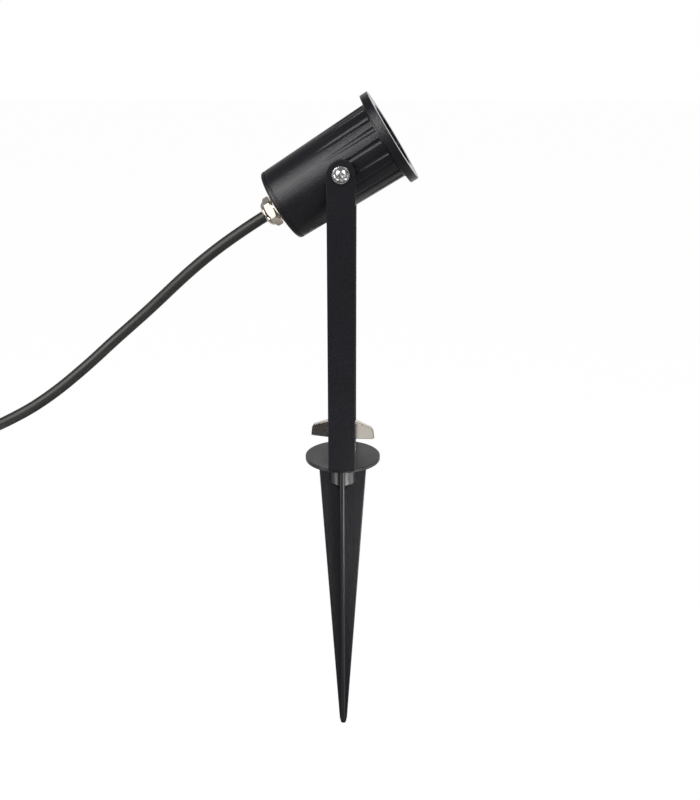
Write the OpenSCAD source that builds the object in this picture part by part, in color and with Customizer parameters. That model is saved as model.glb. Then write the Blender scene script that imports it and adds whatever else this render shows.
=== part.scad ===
// Garden spike spotlight for a replaceable lamp with two twist pins.
// The origin is the centre of the ground disc's underside, where the spike meets the soil. +Z is up.
// The beam leaves along +X and upwards, the pivot axis lies along Y, and the cable leaves towards -X.

/* [Ground spike] */
// Diameter of the ground disc
disc_d = 58; // [50:1:70]
// Thickness of the ground disc
disc_t = 3; // [2:0.5:5]
// Rounding of the ground disc's rim
disc_round = 0.9; // [0.3:0.1:2]
// Length of the spike below the disc
spike_len = 246; // [180:1:320]
// Width across the blades where they meet the disc
blade_top_w = 38; // [30:1:48]
// Width across the blades at the shoulder of the tip
blade_tip_w = 7; // [5:0.5:12]
// Length of the tip below its shoulder
tip_len = 10; // [6:1:20]
// Width of the blunt point
point_w = 1.6; // [1:0.1:3]
// Thickness of a blade
blade_t = 3.2; // [2.4:0.1:5]
// Diameter of the boss under the disc
boss_d = 20; // [16:0.5:24]
// Length of the boss
boss_len = 20; // [17:1:30]
// Height of the cone that ends the boss
boss_cone_len = 6.5; // [3:0.5:12]

/* [Clamp] */
// Thread diameter of the clamp stud
stud_d = 10; // [8:1:11]
// Height of the stud above the disc
stud_rise = 28; // [24:1:34]
// Depth of the stud in the boss
stud_depth = 16; // [10:1:16]
// Chamfer on the end of the stud
stud_chamfer = 1; // [0.4:0.1:2]
// Outer diameter of the flat washer
flat_washer_d = 20; // [18:0.5:26]
// Thickness of the flat washer
flat_washer_t = 2; // [1.2:0.2:3]
// Outer diameter of the spring washer
spring_washer_d = 17.4; // [16:0.2:20]
// Thickness of the spring washer
spring_washer_t = 2.2; // [1.6:0.2:3]
// Width of the split in the spring washer
spring_split_w = 1; // [0.6:0.1:2]
// Diameter of the wing nut's hub at its base
hub_base_d = 20; // [17:0.5:24]
// Diameter of the wing nut's hub at its top
hub_top_d = 16; // [14:0.5:20]
// Height of the wing nut's hub
hub_h = 13; // [10:0.5:18]
// Span across the two wings
wing_span = 50; // [42:1:58]
// Thickness of a wing
wing_t = 3; // [2:0.2:5]
// Height of the wings' lower edge above the nut's base
wing_low = 8; // [5:0.5:9]
// Height of a wing's outer end
wing_end_h = 9.4; // [7:0.2:14]
// Height of a wing at the hub
wing_root_h = 14; // [10:0.5:20]
// Angle of the wings from the X axis
wing_turn = -9; // [-90:1:90]

/* [Bracket] */
// Width of the bent flat bar
bar_w = 20; // [18:0.5:26]
// Thickness of the bent flat bar
bar_t = 3; // [2:0.5:4]
// Outer radius of the two bends
bend_r = 5; // [4.5:0.5:9]
// Height of the pivot axis above the disc
pivot_rise = 222; // [150:1:260]

/* [Head casting] */
// Tilt of the beam above the horizontal at rest
beam_tilt = 32.2; // [0:0.1:60]
// Clearance between the lamp's rim and the casting's wall
lamp_room = 1.2; // [0.8:0.1:2.4]
// How much narrower the casting is at its rear end than at its front
head_taper = 3.4; // [2:0.2:5]
// Distance from the pivot to the front face of the bezel
front_reach = 41.8; // [40:0.2:60]
// Distance from the pivot to the outer face of the rear cap
rear_reach = 52.2; // [50:0.2:70]
// Wall thickness of the casting
wall_t = 2.5; // [1.8:0.1:3]
// Step of the collar behind the bezel above the casting
collar_step = 0.9; // [0.4:0.1:1.6]
// Width of the collar behind the bezel
collar_w = 2.4; // [1:0.2:4]
// Number of flutes round the casting
flute_count = 20; // [8:1:30]
// Width of a flute
flute_w = 4.6; // [2:0.2:6]
// Depth of a flute at its front end
flute_depth = 0.9; // [0.5:0.1:1.4]
// Diameter of the two side bosses
side_boss_d = 17; // [14:0.5:20]
// Height of the side bosses above the casting's front
boss_rise = 3.5; // [2.4:0.1:7]

/* [Bezel and glass] */
// Thickness of the bezel's rim outside its thread
bezel_rim = 3.5; // [2.5:0.1:5]
// Depth of the bezel from front to back
bezel_depth = 5.4; // [5:0.1:9]
// How far the bezel's lip covers the glass
lip_cover = 4.5; // [3:0.1:6]
// Thickness of the bezel's lip
lip_t = 1.5; // [1:0.1:2]
// Chamfer on the bezel's edges
bezel_chamfer = 0.6; // [0.2:0.1:1]
// Wall of the casting between the glass and the bezel's thread
thread_wall = 2.6; // [2:0.1:4]
// How far the glass lies on the casting's ledge
glass_ledge = 2.3; // [1.6:0.1:3.5]
// Thickness of the cover glass
glass_t = 3; // [2:0.5:3.5]
// Thickness of the gasket behind the glass
gasket_t = 1.5; // [1:0.1:2.5]
// Width of the gasket behind the glass
gasket_w = 2.2; // [1.4:0.1:2.3]

/* [Pivot] */
// Thread diameter of the pivot screws
pivot_screw_d = 6; // [5:0.5:7]
// Length of the pivot screws under the head
pivot_screw_len = 10; // [9:0.5:10.5]
// Diameter of the button head
button_d = 10.5; // [9:0.5:13]
// Height of the button head
button_h = 3.3; // [2.4:0.1:4]
// Size of the hexagon socket across its flats
socket_af = 4; // [3:0.5:5]
// Outer diameter of the washers under the button heads
pivot_washer_d = 12; // [11:0.5:16]
// Thickness of the washers under the button heads
pivot_washer_t = 1.6; // [1:0.2:2]
// Diameter of the friction washers inside the arms
friction_washer_d = 16; // [14:0.5:19]
// Thickness of the friction washers inside the arms
friction_washer_t = 0.8; // [0.4:0.1:1.2]

/* [Rear cap] */
// Thickness of the rear cap
cap_t = 3; // [2.4:0.2:5]
// Rounding of the rear cap's edge
cap_round = 2; // [0.5:0.1:2.2]
// Thickness of the gasket under the rear cap
cap_gasket_t = 0.8; // [0.5:0.1:1.5]
// Thread diameter of the cap screws and of the other small screws
small_screw_d = 3; // [2.5:0.5:3]
// Length of the cap screws
cap_screw_len = 10; // [8:0.5:12]
// Diameter of the lugs that take the cap screws
lug_d = 7; // [6:0.2:8]
// Length of the lugs that take the cap screws
lug_len = 9; // [8:0.5:14]

/* [Cable gland] */
// Thread diameter of the gland
gland_thread_d = 16; // [14:0.5:17]
// Size of the gland's hexagons across their flats
gland_af = 20; // [18:0.5:22]
// Thickness of the gland's seal washer
gland_washer_t = 0.8; // [0.5:0.1:1.2]
// Thickness of the gland body's hexagon
gland_hex_h = 2.6; // [2:0.2:5]
// Gap between the gland body and its nut
gland_groove_w = 0.8; // [0.4:0.1:2]
// Height of the nut's hexagon
nut_hex_h = 5.5; // [4.6:0.1:8]
// Height of the nut's dome
nut_dome_h = 3.6; // [2.5:0.1:6]
// Diameter of the dome's front face
nut_face_d = 14; // [12:0.5:16]
// Thickness of the locknut inside the cap
locknut_t = 2.8; // [2:0.2:4]

/* [Lamp holder] */
// Diameter of the ceramic lamp holder
holder_d = 27; // [26:0.5:30]
// Height of the ceramic lamp holder
holder_h = 18; // [15:0.5:18.5]
// Distance from the pivot back to the holder's front face
holder_back = 19; // [17:0.5:20]
// Distance between the two lamp pins
pin_pitch = 10; // [9:0.5:11]
// Turn of the lamp between its locked and its free place
twist_angle = 30; // [25:1:35]
// Thickness of the plate that holds the pins
holder_plate_t = 2.5; // [1.5:0.1:3]
// Depth of the pin chambers under the plate
chamber_h = 7.5; // [5:0.5:9]
// Width of the bridge under the holder
bridge_w = 10; // [8:0.5:11]
// Thickness of the bridge under the holder
bridge_t = 1; // [0.6:0.1:1.5]
// Distance between the two holder screws
holder_screw_pitch = 19; // [18:0.5:20]

/* [Lamp] */
// Diameter of the lamp's rim
lamp_d = 50; // [46:0.5:50.5]
// Length of the lamp from its base to its front
lamp_len = 49.4; // [44:0.2:51]
// Length of the lamp's neck
neck_len = 12; // [8:0.5:16]
// Diameter of the lamp's neck at its base
neck_d = 21; // [19:0.5:25]
// Diameter of a pin's shank
pin_d = 2.9; // [2.5:0.1:3]
// Diameter of a pin's head
pin_head_d = 5; // [4.5:0.1:5.2]
// Height of a pin's head
pin_head_h = 2.7; // [2:0.1:4]
// Wall thickness of the lamp's body
lamp_wall = 1.6; // [1:0.1:2.5]
// Thickness of the lamp's light board
board_t = 1.6; // [1:0.2:2.4]
// Number of light chips round the board's centre
chip_count = 6; // [3:1:8]

/* [Cable] */
// Outer diameter of the rubber cable
cable_d = 8.4; // [7:0.1:8.6]
// Diameter of the insulated cores
core_d = 2.5; // [1.8:0.1:2.8]
// Outer radius of the coil, to the cable's centre
coil_r = 55; // [55:1:80]
// Turns in each of the coil's two full layers, under one last turn
coil_turns = 2; // [1:1:2]
// Rise from one layer of the coil to the next
coil_rise = 9.6; // [9.4:0.1:12]
// Step between neighbouring turns of the coil
coil_step = 10.4; // [10.4:0.1:13]
// Length of the cores at the prepared end
bare_len = 30; // [15:1:45]

/* [Hidden] */
$fn = 96;

// Overrun of a cut past the face that it opens
over = 1;
// Radial clearance of a running fit
run_fit = 0.08;
// Radial clearance of a thread that is screwed home
thread_fit = 0.05;
// Radial clearance of a loose washer
loose_fit = 0.3;
// Radial clearance of a clearance hole
hole_gap = 0.2;
// Gap between the lamp and the holder
lamp_gap = 0.3;

// Heights along the stud
disc_top = disc_t;
foot_top = disc_top + bar_t;
flat_washer_top = foot_top + flat_washer_t;
nut_base = flat_washer_top + spring_washer_t;

// Shape of the wings: where they start in the hub, their corner and the lean of their ends
wing_root_share = 0.7;
wing_corner = 2.4;
wing_end_lean = 0.8;

// Places along the beam axis, counted from the pivot, forwards positive
thread_front_gap = 0.2;
pivot_z = disc_top + pivot_rise;
ring_back = front_reach - bezel_depth;
lip_back = front_reach - lip_t;
glass_back = lip_back - glass_t;
ledge = glass_back - gasket_t;
collar_back = ring_back - collar_w;
cap_face = -rear_reach;
cap_back = cap_face + cap_t;
casting_rear = cap_back + cap_gasket_t;
casting_front = lip_back - thread_front_gap;

// Radii of the casting and what sits in it
seat_gap = 0.4;
cavity_front_r = lamp_d / 2 + lamp_room;
front_r = cavity_front_r + wall_t;
rear_r = front_r - head_taper / 2;
cavity_rear_r = rear_r - wall_t;
collar_r = front_r + collar_step;
glass_r = cavity_front_r + glass_ledge;
seat_r = glass_r + seat_gap;
bezel_thread_r = seat_r + thread_wall;
bezel_r = bezel_thread_r + bezel_rim;
bezel_open_r = glass_r - lip_cover;
flute_floor_r = front_r - flute_depth;
flute_end_gap = 0.6;
flute_start_step = 0.1;
flute_r = (flute_w * flute_w / 4 + flute_depth * flute_depth) / flute_depth / 2;
flute_start_share = (flute_floor_r + flute_start_step - rear_r) / (front_r - rear_r);
flute_start = casting_rear + flute_start_share * (collar_back - casting_rear);

// Half widths across the pivot, and the pivot screws' holes and sockets
screw_end_gap = 0.6;
socket_depth_share = 0.6;
boss_face = front_r + boss_rise;
arm_in = boss_face + friction_washer_t;
arm_out = arm_in + bar_t;
washer_out = arm_out + pivot_washer_t;
pivot_hole_r = pivot_screw_d / 2 + run_fit;
pivot_hole_end = washer_out - pivot_screw_len - screw_end_gap;
socket_depth = button_h * socket_depth_share;
socket_floor = button_h - socket_depth;

// The small screws: pan heads inside the head, countersunk heads in the rear cap
small_r = small_screw_d / 2;
small_head_share = 0.6;
small_socket_share = 0.66;
csk_share = 0.55;
csk_gap = 0.05;
small_head_h = small_screw_d * small_head_share;
small_head_r = small_screw_d - csk_gap;
csk_h = small_screw_d * csk_share;
csk_r = small_screw_d;
inner_screw_len = 5;

// The rear cap's screws with their lugs, and its inner bosses
cap_screw_count = 3;
lug_bite = 0.5;
foot_room = 1;
edge_share = 0.75;
gasket_recess = 0.8;
gasket_margin = 0.2;
inner_boss_h = 3;
inner_boss_r = 3.5;
earth_boss_angle = -64;
earth_boss_ring = 18.5;
lug_ring_r = cavity_rear_r - lug_d / 2 + lug_bite;
inner_boss_top = cap_back + inner_boss_h;
gland_corner_r = gland_af / sqrt(3);
bridge_foot_x = gland_corner_r + inner_boss_r + foot_room;

// Places along the gland
gland_neck_step = 0.4;
neck_share = 0.72;
dome_mid_share = 0.9;
cable_gap = 0.15;
seal_wall = 1.3;
seal_reach = 0.6;
locknut_step = 1;
locknut_spare = 1;
cable_spare = 2;
cable_r = cable_d / 2;
gland_r = gland_thread_d / 2;
gland_flange = cap_face - gland_washer_t;
gland_hex_end = gland_flange - gland_hex_h;
nut_start = gland_hex_end - gland_groove_w;
nut_hex_end = nut_start - nut_hex_h;
nut_end = nut_hex_end - nut_dome_h;
gland_neck_r = gland_r - gland_neck_step;
gland_neck_end = nut_start - nut_hex_h * neck_share;
seal_r = gland_neck_r - seal_wall;
seal_end = nut_hex_end - seal_reach;
locknut_af = gland_af - locknut_step;
gland_inner_end = cap_back + locknut_t + locknut_spare;
cable_end_z = gland_inner_end + cable_spare;

// Places of the lamp holder and its pin slots
slot_gap = 0.25;
chamber_gap = 0.5;
pocket_fit = 0.05;
screw_sink = 4;
contact_t = 0.8;
contact_w = 5;
contact_h = 5;
contact_gap = 0.3;
lead_hole_y = 8;
lead_hole_depth = 4;
holder_r = holder_d / 2;
holder_front = -holder_back;
holder_rear = holder_front - holder_h;
plate_back = holder_front - holder_plate_t;
pin_ring_r = pin_pitch / 2;
slot_r = pin_d / 2 + slot_gap;
chamber_r = pin_head_d / 2 + chamber_gap;
contact_y = pin_ring_r + pin_head_d / 2 + contact_gap;

// Places along the lamp
neck_flare = 2;
rim_h = 5;
lens_t = 2.4;
board_r = 18;
board_drop = 6;
lamp_step = 1.2;
chip_ring_share = 0.6;
chip_w = 3.4;
chip_h = 0.8;
pin_seat = 3;
lamp_r = lamp_d / 2;
neck_r = neck_d / 2;
lens_r = lamp_r - lamp_wall;
lamp_base_z = holder_front + lamp_gap;
lamp_front_z = lamp_base_z + lamp_len;
neck_front_z = lamp_base_z + neck_len;
lens_back_z = lamp_front_z - lens_t;
board_z = lamp_front_z - rim_h - board_drop;
chip_ring_r = board_r * chip_ring_share;
pin_head_top = plate_back - lamp_gap;

// The wires inside the head and at the prepared end of the cable
lead_r = 1.1;
core_spread = 0.1;
core_ring_r = core_d / sqrt(3) + core_spread;
core_fan = 4;
earth_mid_share = 0.6;
core_gap = 0.1;
tag_t = 0.8;
tag_r = 3.4;
tag_len = 7;
ferrule_len = 8;
ferrule_r = 0.8;

// The free cable. Its route is chosen by hand, in world places after the first straight bit.
stub_len = 1;
tilt_gap = 0.5;
stub_reach = nut_end - stub_len;
run_start = head_point(stub_reach - tilt_gap);
run_second = head_point(stub_reach - tilt_gap - cable_d);
coil_x = -347;
coil_y = 19;
lead_in = 10;
tie_t = 1.2;
tie_w = 3.6;
tie_slack = 0.5;
tie_head_w = 5.4;
tie_head_l = 6.4;
tie_head_t = 3.8;
coil_low_z = cable_r + tie_t;
coil_mid_z = coil_low_z + coil_rise;
coil_top_z = coil_mid_z + coil_rise;
run_points = [
    [-77, 0, 176], [-91, 0, 166], [-105, 0, 155], [-120, 0, 142], [-145, 0, 119], [-170.5, -3, 97],
    [-193, -9.5, 77.5], [-217, -17, 59], [-240.5, -24, 45], [-270.5, -31, 32.5], [-302, -35, 26]
];
run_end = [coil_x + lead_in, coil_y - coil_r, coil_top_z];
run_before_end = [coil_x + lead_in + cable_d, coil_y - coil_r, coil_top_z];
run_route = concat([run_start, run_second], run_points, [run_before_end, run_end]);
run_steps = 2;
coil_rings = 24;
tail_len = 13;

// A place on the beam axis in world places
function head_point(along) = [along * cos(beam_tilt), 0, pivot_z + along * sin(beam_tilt)];

function unit(v) = v / norm(v);

// Direction of a path at one of its points
function heading(path, i) = unit(path[min(i + 1, len(path) - 1)] - path[max(i - 1, 0)]);

// A point on the smooth curve through b and c, with a before them and d after them
function curve_point(a, b, c, d, t) =
    b + t * (c - a) / 2
    + t * t * (2 * a - 5 * b + 4 * c - d) / 2
    + t * t * t * (3 * b - a - 3 * c + d) / 2;

// The smooth curve through a list of points, its first and last spans left straight
function smooth(p, steps) = concat(
    [p[0]],
    [for (i = [1 : len(p) - 3]) for (s = [0 : steps - 1]) curve_point(p[i - 1], p[i], p[i + 1], p[i + 2], s / steps)],
    [p[len(p) - 2], p[len(p) - 1]]
);

// Radius, height and place of the coil after a number of degrees, counted from the end of its first,
// top turn
coil_degrees = 360 * (2 * coil_turns) + 180;
function coil_radius(turned) =
    let (layer = 360 * coil_turns)
    turned < 0 ? coil_r
    : turned < layer ? coil_r - coil_step * turned / 360
    : turned < layer + 180 ? coil_r - coil_step * coil_turns
    : coil_r - coil_step * coil_turns + coil_step * (turned - layer - 180) / 360;
function coil_height(turned) =
    let (layer = 360 * coil_turns)
    turned < -180 ? coil_top_z
    : turned < 0 ? coil_mid_z - coil_rise * turned / 180
    : turned < layer ? coil_mid_z
    : turned < layer + 180 ? coil_mid_z - coil_rise * (turned - layer) / 180
    : coil_low_z;
function coil_at(turned) = [
    coil_x + coil_radius(turned) * cos(-90 - turned),
    coil_y + coil_radius(turned) * sin(-90 - turned),
    coil_height(turned)
];
coil_tail = coil_at(coil_degrees);
coil_path = concat(
    [run_end],
    [for (i = [-coil_rings : coil_degrees * coil_rings / 360]) coil_at(i * 360 / coil_rings)],
    [coil_tail + [cable_d, 0, 0], coil_tail + [tail_len, 0, 0]]
);
cable_end = coil_tail + [tail_len, 0, 0];

// The least gap between turns of the coil, measured between points at least half a turn apart
coil_gap = min([
    for (i = [0 : len(coil_path) - 1]) for (j = [i + coil_rings / 2 : 1 : len(coil_path) - 1])
    norm(coil_path[i] - coil_path[j])
]) - cable_d;
echo(coil_gap = coil_gap);

// A closed tube of straight facets along a path
module tube(path, r, sides, across) {
    rings = [
        for (i = [0 : len(path) - 1])
        let (t = heading(path, i), s = unit(cross(t, across)), u = cross(s, t))
        for (k = [0 : sides - 1])
        path[i] + r * (cos(k * 360 / sides) * s + sin(k * 360 / sides) * u)
    ];
    last = (len(path) - 1) * sides;
    walls = [
        for (i = [0 : len(path) - 2]) for (k = [0 : sides - 1])
        let (a = i * sides + k, b = i * sides + (k + 1) % sides, c = a + sides, d = b + sides)
        each [[b, d, c], [b, c, a]]
    ];
    ends = [for (k = [1 : sides - 2]) each [[0, k + 1, k], [last, last + k, last + k + 1]]];
    polyhedron(rings, concat(walls, ends));
}

// Puts the head's pieces in place: their Z is the beam axis and their Y is the pivot axis
module in_head() {
    translate([0, 0, pivot_z]) rotate([0, 90 - beam_tilt, 0]) children();
}

// A ring with its axis on Z
module ring(outer_r, inner_r, low, high) {
    translate([0, 0, low]) difference() {
        cylinder(r = outer_r, h = high - low);
        translate([0, 0, -over]) cylinder(r = inner_r, h = high - low + 2 * over);
    }
}

// A hexagonal prism with its axis on Z
module hexagon(af, low, high) {
    translate([0, 0, low]) cylinder(r = af / sqrt(3), h = high - low, $fn = 6);
}

// A half section with both outer corners rounded, for turning about Z
module rounded_disc_half(r, low, high, round) {
    translate([0, low]) square([r - round, high - low]);
    translate([0, low + round]) square([r, high - low - 2 * round]);
    translate([r - round, low + round]) circle(round, $fn = 32);
    translate([r - round, high - round]) circle(round, $fn = 32);
}

// One pair of blades, in the XZ plane
module blade_pair() {
    shoulder = -spike_len + tip_len;
    rotate([90, 0, 0]) translate([0, 0, -blade_t / 2]) linear_extrude(blade_t) polygon([
        [-blade_top_w / 2, disc_t / 2],
        [-blade_top_w / 2, 0],
        [-blade_tip_w / 2, shoulder],
        [-point_w / 2, -spike_len],
        [point_w / 2, -spike_len],
        [blade_tip_w / 2, shoulder],
        [blade_top_w / 2, 0],
        [blade_top_w / 2, disc_t / 2]
    ]);
}

module ground_spike() {
    rim_round = min(disc_round, disc_t / 3);
    color("dimgray") difference() {
        union() {
            rotate_extrude() rounded_disc_half(disc_d / 2, 0, disc_t, rim_round);
            translate([0, 0, -boss_len]) cylinder(d = boss_d, h = boss_len + disc_t / 2);
            translate([0, 0, -boss_len - boss_cone_len]) cylinder(d1 = blade_t, d2 = boss_d, h = boss_cone_len);
            blade_pair();
            rotate([0, 0, 90]) blade_pair();
        }
        translate([0, 0, -stud_depth]) cylinder(r = stud_d / 2 + thread_fit, h = stud_depth + disc_t + over);
    }
}

module clamp_stud() {
    color("silver") translate([0, 0, -stud_depth]) {
        cylinder(d = stud_d, h = stud_depth + disc_t + stud_rise - stud_chamfer);
        translate([0, 0, stud_depth + disc_t + stud_rise - stud_chamfer])
            cylinder(d1 = stud_d, d2 = stud_d - 2 * stud_chamfer, h = stud_chamfer);
    }
}

module flat_washer() {
    color("silver") ring(flat_washer_d / 2, stud_d / 2 + loose_fit, foot_top, flat_washer_top);
}

module spring_washer() {
    color("gray") difference() {
        ring(spring_washer_d / 2, stud_d / 2 + loose_fit, flat_washer_top, nut_base);
        rotate([0, 0, 30]) translate([0, -spring_split_w / 2, flat_washer_top - over])
            cube([spring_washer_d, spring_split_w, spring_washer_t + 2 * over]);
    }
}

// Outline of one wing, from the hub outwards and up from the nut's base
module wing_outline() {
    root = hub_top_d / 2 * wing_root_share;
    end = wing_span / 2;
    top = wing_low + wing_end_h;
    polygon([
        [root, wing_low],
        [end, wing_low],
        [end - wing_end_lean, top - wing_corner],
        [end - wing_corner, top],
        [hub_base_d / 2, wing_low + wing_root_h],
        [root, wing_low + wing_root_h - wing_corner]
    ]);
}

module wing_nut() {
    color("tan") difference() {
        translate([0, 0, nut_base]) union() {
            cylinder(d1 = hub_base_d, d2 = hub_top_d, h = hub_h);
            for (side = [0, 180]) rotate([90, 0, side + wing_turn])
                translate([0, 0, -wing_t / 2]) linear_extrude(wing_t) wing_outline();
        }
        translate([0, 0, nut_base - over]) cylinder(r = stud_d / 2 + run_fit, h = hub_h + wing_root_h + 2 * over);
    }
}

// A U in section: half width, floor, rim and corner radius
module u_section(half, floor_z, rim_z, round) {
    translate([-half, floor_z + round]) square([2 * half, rim_z - floor_z - round]);
    translate([-half + round, floor_z]) square([2 * (half - round), round + over]);
    for (side = [-1, 1]) translate([side * (half - round), floor_z + round]) circle(round, $fn = 48);
}

module bracket() {
    reach = pivot_z + bar_w / 2 + over;
    color("dimgray") difference() {
        intersection() {
            rotate([90, 0, 90]) translate([0, 0, -bar_w / 2]) linear_extrude(bar_w) difference() {
                u_section(arm_out, disc_top, reach, bend_r);
                u_section(arm_in, foot_top, reach + over, bend_r - bar_t);
            }
            rotate([90, 0, 0]) translate([0, 0, -arm_out - over]) linear_extrude(2 * (arm_out + over)) {
                translate([-bar_w / 2, 0]) square([bar_w, pivot_z]);
                translate([0, pivot_z]) circle(bar_w / 2);
            }
        }
        translate([0, 0, pivot_z]) rotate([90, 0, 0])
            cylinder(r = pivot_hole_r, h = 2 * (arm_out + over), center = true);
        translate([0, 0, disc_top - over]) cylinder(r = stud_d / 2 + run_fit, h = bar_t + 2 * over);
    }
}

// The angles of the lugs and of the cap screws, round the beam axis
function lug_angle(i) = 90 + i * 360 / cap_screw_count;

module casting_shell() {
    rotate_extrude() polygon([
        [cavity_rear_r, casting_rear],
        [rear_r, casting_rear],
        [front_r, collar_back],
        [collar_r, collar_back],
        [collar_r, ring_back],
        [bezel_thread_r, ring_back],
        [bezel_thread_r, casting_front],
        [seat_r, casting_front],
        [seat_r, ledge],
        [cavity_front_r, ledge]
    ]);
}

// Places a child on each side, its Z pointing away from the beam axis along the pivot axis
module at_sides() {
    for (side = [-1, 1]) rotate([-90 * side, 0, 0]) children();
}

// Places a child at each cap screw
module at_lugs() {
    for (i = [0 : cap_screw_count - 1]) rotate([0, 0, lug_angle(i)]) translate([lug_ring_r, 0, 0]) children();
}

module head_casting() {
    color("dimgray") in_head() difference() {
        union() {
            difference() {
                casting_shell();
                for (i = [0 : flute_count - 1]) rotate([0, 0, (i + 0.5) * 360 / flute_count])
                    translate([flute_floor_r + flute_r, 0, flute_start])
                    cylinder(r = flute_r, h = collar_back - flute_end_gap - flute_start);
            }
            at_sides() translate([0, 0, cavity_front_r]) cylinder(d = side_boss_d, h = boss_face - cavity_front_r);
            at_lugs() translate([0, 0, casting_rear]) cylinder(d = lug_d, h = lug_len);
        }
        at_sides() translate([0, 0, pivot_hole_end]) cylinder(r = pivot_screw_d / 2 + thread_fit, h = arm_in);
        at_lugs() translate([0, 0, casting_rear - over]) cylinder(r = small_r + thread_fit, h = lug_len);
    }
}

module friction_washers() {
    color("black") in_head() at_sides()
        ring(friction_washer_d / 2, pivot_screw_d / 2 + loose_fit, boss_face, arm_in);
}

module pivot_washers() {
    color("silver") in_head() at_sides()
        ring(pivot_washer_d / 2, pivot_screw_d / 2 + loose_fit, arm_out, washer_out);
}

// A domed head with a hexagon socket, standing on Z
module button_head() {
    dome_r = (button_d * button_d / 4 + button_h * button_h) / button_h / 2;
    difference() {
        intersection() {
            cylinder(d = button_d, h = button_h);
            translate([0, 0, button_h - dome_r]) sphere(dome_r);
        }
        translate([0, 0, button_h - socket_depth]) hexagon(socket_af, 0, socket_depth + over);
    }
}

module pivot_screws() {
    color("silver") in_head() at_sides() {
        translate([0, 0, washer_out]) button_head();
        translate([0, 0, washer_out - pivot_screw_len])
            cylinder(d = pivot_screw_d, h = pivot_screw_len + socket_floor / 2);
    }
}

module bezel() {
    color("dimgray") in_head() rotate_extrude() polygon([
        [bezel_thread_r + run_fit, ring_back],
        [bezel_r - bezel_chamfer, ring_back],
        [bezel_r, ring_back + bezel_chamfer],
        [bezel_r, front_reach - bezel_chamfer],
        [bezel_r - bezel_chamfer, front_reach],
        [bezel_open_r + bezel_chamfer, front_reach],
        [bezel_open_r, front_reach - bezel_chamfer],
        [bezel_open_r, lip_back],
        [bezel_thread_r + run_fit, lip_back]
    ]);
}

module cover_glass() {
    color("lightcyan") in_head() translate([0, 0, glass_back]) cylinder(r = glass_r, h = glass_t);
}

module glass_gasket() {
    color("black") in_head() ring(glass_r, glass_r - gasket_w, ledge, glass_back);
}

// The inner bosses of the rear cap: two for the bridge and one for the earth screw
module at_bridge_feet() {
    for (side = [-1, 1]) translate([side * bridge_foot_x, 0, 0]) children();
}
module at_earth_boss() {
    rotate([0, 0, earth_boss_angle]) translate([earth_boss_ring, 0, 0]) children();
}

module rear_cap() {
    edge_round = min(cap_round, cap_t * edge_share);
    color("dimgray") in_head() difference() {
        union() {
            rotate_extrude() intersection() {
                translate([0, cap_face]) square([rear_r, cap_t]);
                union() {
                    translate([0, cap_face]) square([rear_r - edge_round, cap_t]);
                    translate([0, cap_face + edge_round]) square([rear_r, cap_t - edge_round]);
                    translate([rear_r - edge_round, cap_face + edge_round]) circle(edge_round, $fn = 48);
                }
            }
            at_bridge_feet() translate([0, 0, cap_back - over / 2])
                cylinder(r = inner_boss_r, h = inner_boss_h + over / 2);
            at_earth_boss() translate([0, 0, cap_back - over / 2])
                cylinder(r = inner_boss_r, h = inner_boss_h + over / 2);
        }
        translate([0, 0, cap_face - over]) cylinder(r = gland_r + hole_gap, h = cap_t + 2 * over);
        at_lugs() translate([0, 0, cap_face]) {
            translate([0, 0, -over]) cylinder(r = small_r + hole_gap, h = cap_t + 2 * over);
            cylinder(r1 = csk_r, r2 = small_r, h = csk_h);
        }
        at_bridge_feet() translate([0, 0, inner_boss_top - inner_screw_len])
            cylinder(r = small_r + thread_fit, h = inner_screw_len + over);
        at_earth_boss() translate([0, 0, inner_boss_top - inner_screw_len])
            cylinder(r = small_r + thread_fit, h = inner_screw_len + over);
    }
}

module cap_gasket() {
    color("black") in_head() ring(rear_r - gasket_recess, cavity_rear_r + gasket_margin, cap_back, casting_rear);
}

module cap_screws() {
    color("silver") in_head() at_lugs()
        translate([0, 0, cap_face]) difference() {
            union() {
                cylinder(r1 = csk_r - csk_gap, r2 = small_r - csk_gap, h = csk_h);
                cylinder(r = small_r, h = cap_screw_len);
            }
            translate([0, 0, -over]) hexagon(small_screw_d * small_socket_share, 0, over + csk_h * small_socket_share);
        }
}

module gland_washer() {
    color("black") in_head() ring(gland_af / 2, gland_r + hole_gap, gland_flange, cap_face);
}

module gland_body() {
    color("gainsboro") in_head() difference() {
        union() {
            hexagon(gland_af, gland_hex_end, gland_flange);
            translate([0, 0, gland_flange - over / 2])
                cylinder(r = gland_r, h = gland_inner_end - gland_flange + over / 2);
            translate([0, 0, gland_neck_end]) cylinder(r = gland_neck_r, h = gland_flange - gland_neck_end);
        }
        translate([0, 0, gland_neck_end - over])
            cylinder(r = cable_r + cable_gap, h = gland_inner_end - gland_neck_end + 2 * over);
        translate([0, 0, gland_neck_end - over]) cylinder(r = seal_r + cable_gap, h = nut_start - gland_neck_end + over);
    }
}

module gland_seal() {
    color("black") in_head() ring(seal_r, cable_r + cable_gap / 3, seal_end, nut_start - cable_gap);
}

module gland_nut() {
    dome_r = gland_af / 2;
    color("gainsboro") in_head() difference() {
        union() {
            hexagon(gland_af, nut_hex_end, nut_start);
            translate([0, 0, nut_end]) cylinder(r1 = nut_face_d / 2, r2 = dome_r * dome_mid_share, h = nut_dome_h / 2);
            translate([0, 0, nut_end + nut_dome_h / 2])
                cylinder(r1 = dome_r * dome_mid_share, r2 = dome_r, h = nut_dome_h / 2);
        }
        translate([0, 0, nut_end - over]) cylinder(r = cable_r + cable_gap, h = nut_start - nut_end + 2 * over);
        translate([0, 0, seal_end]) cylinder(r = gland_neck_r + thread_fit, h = nut_start - seal_end + over);
    }
}

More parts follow.
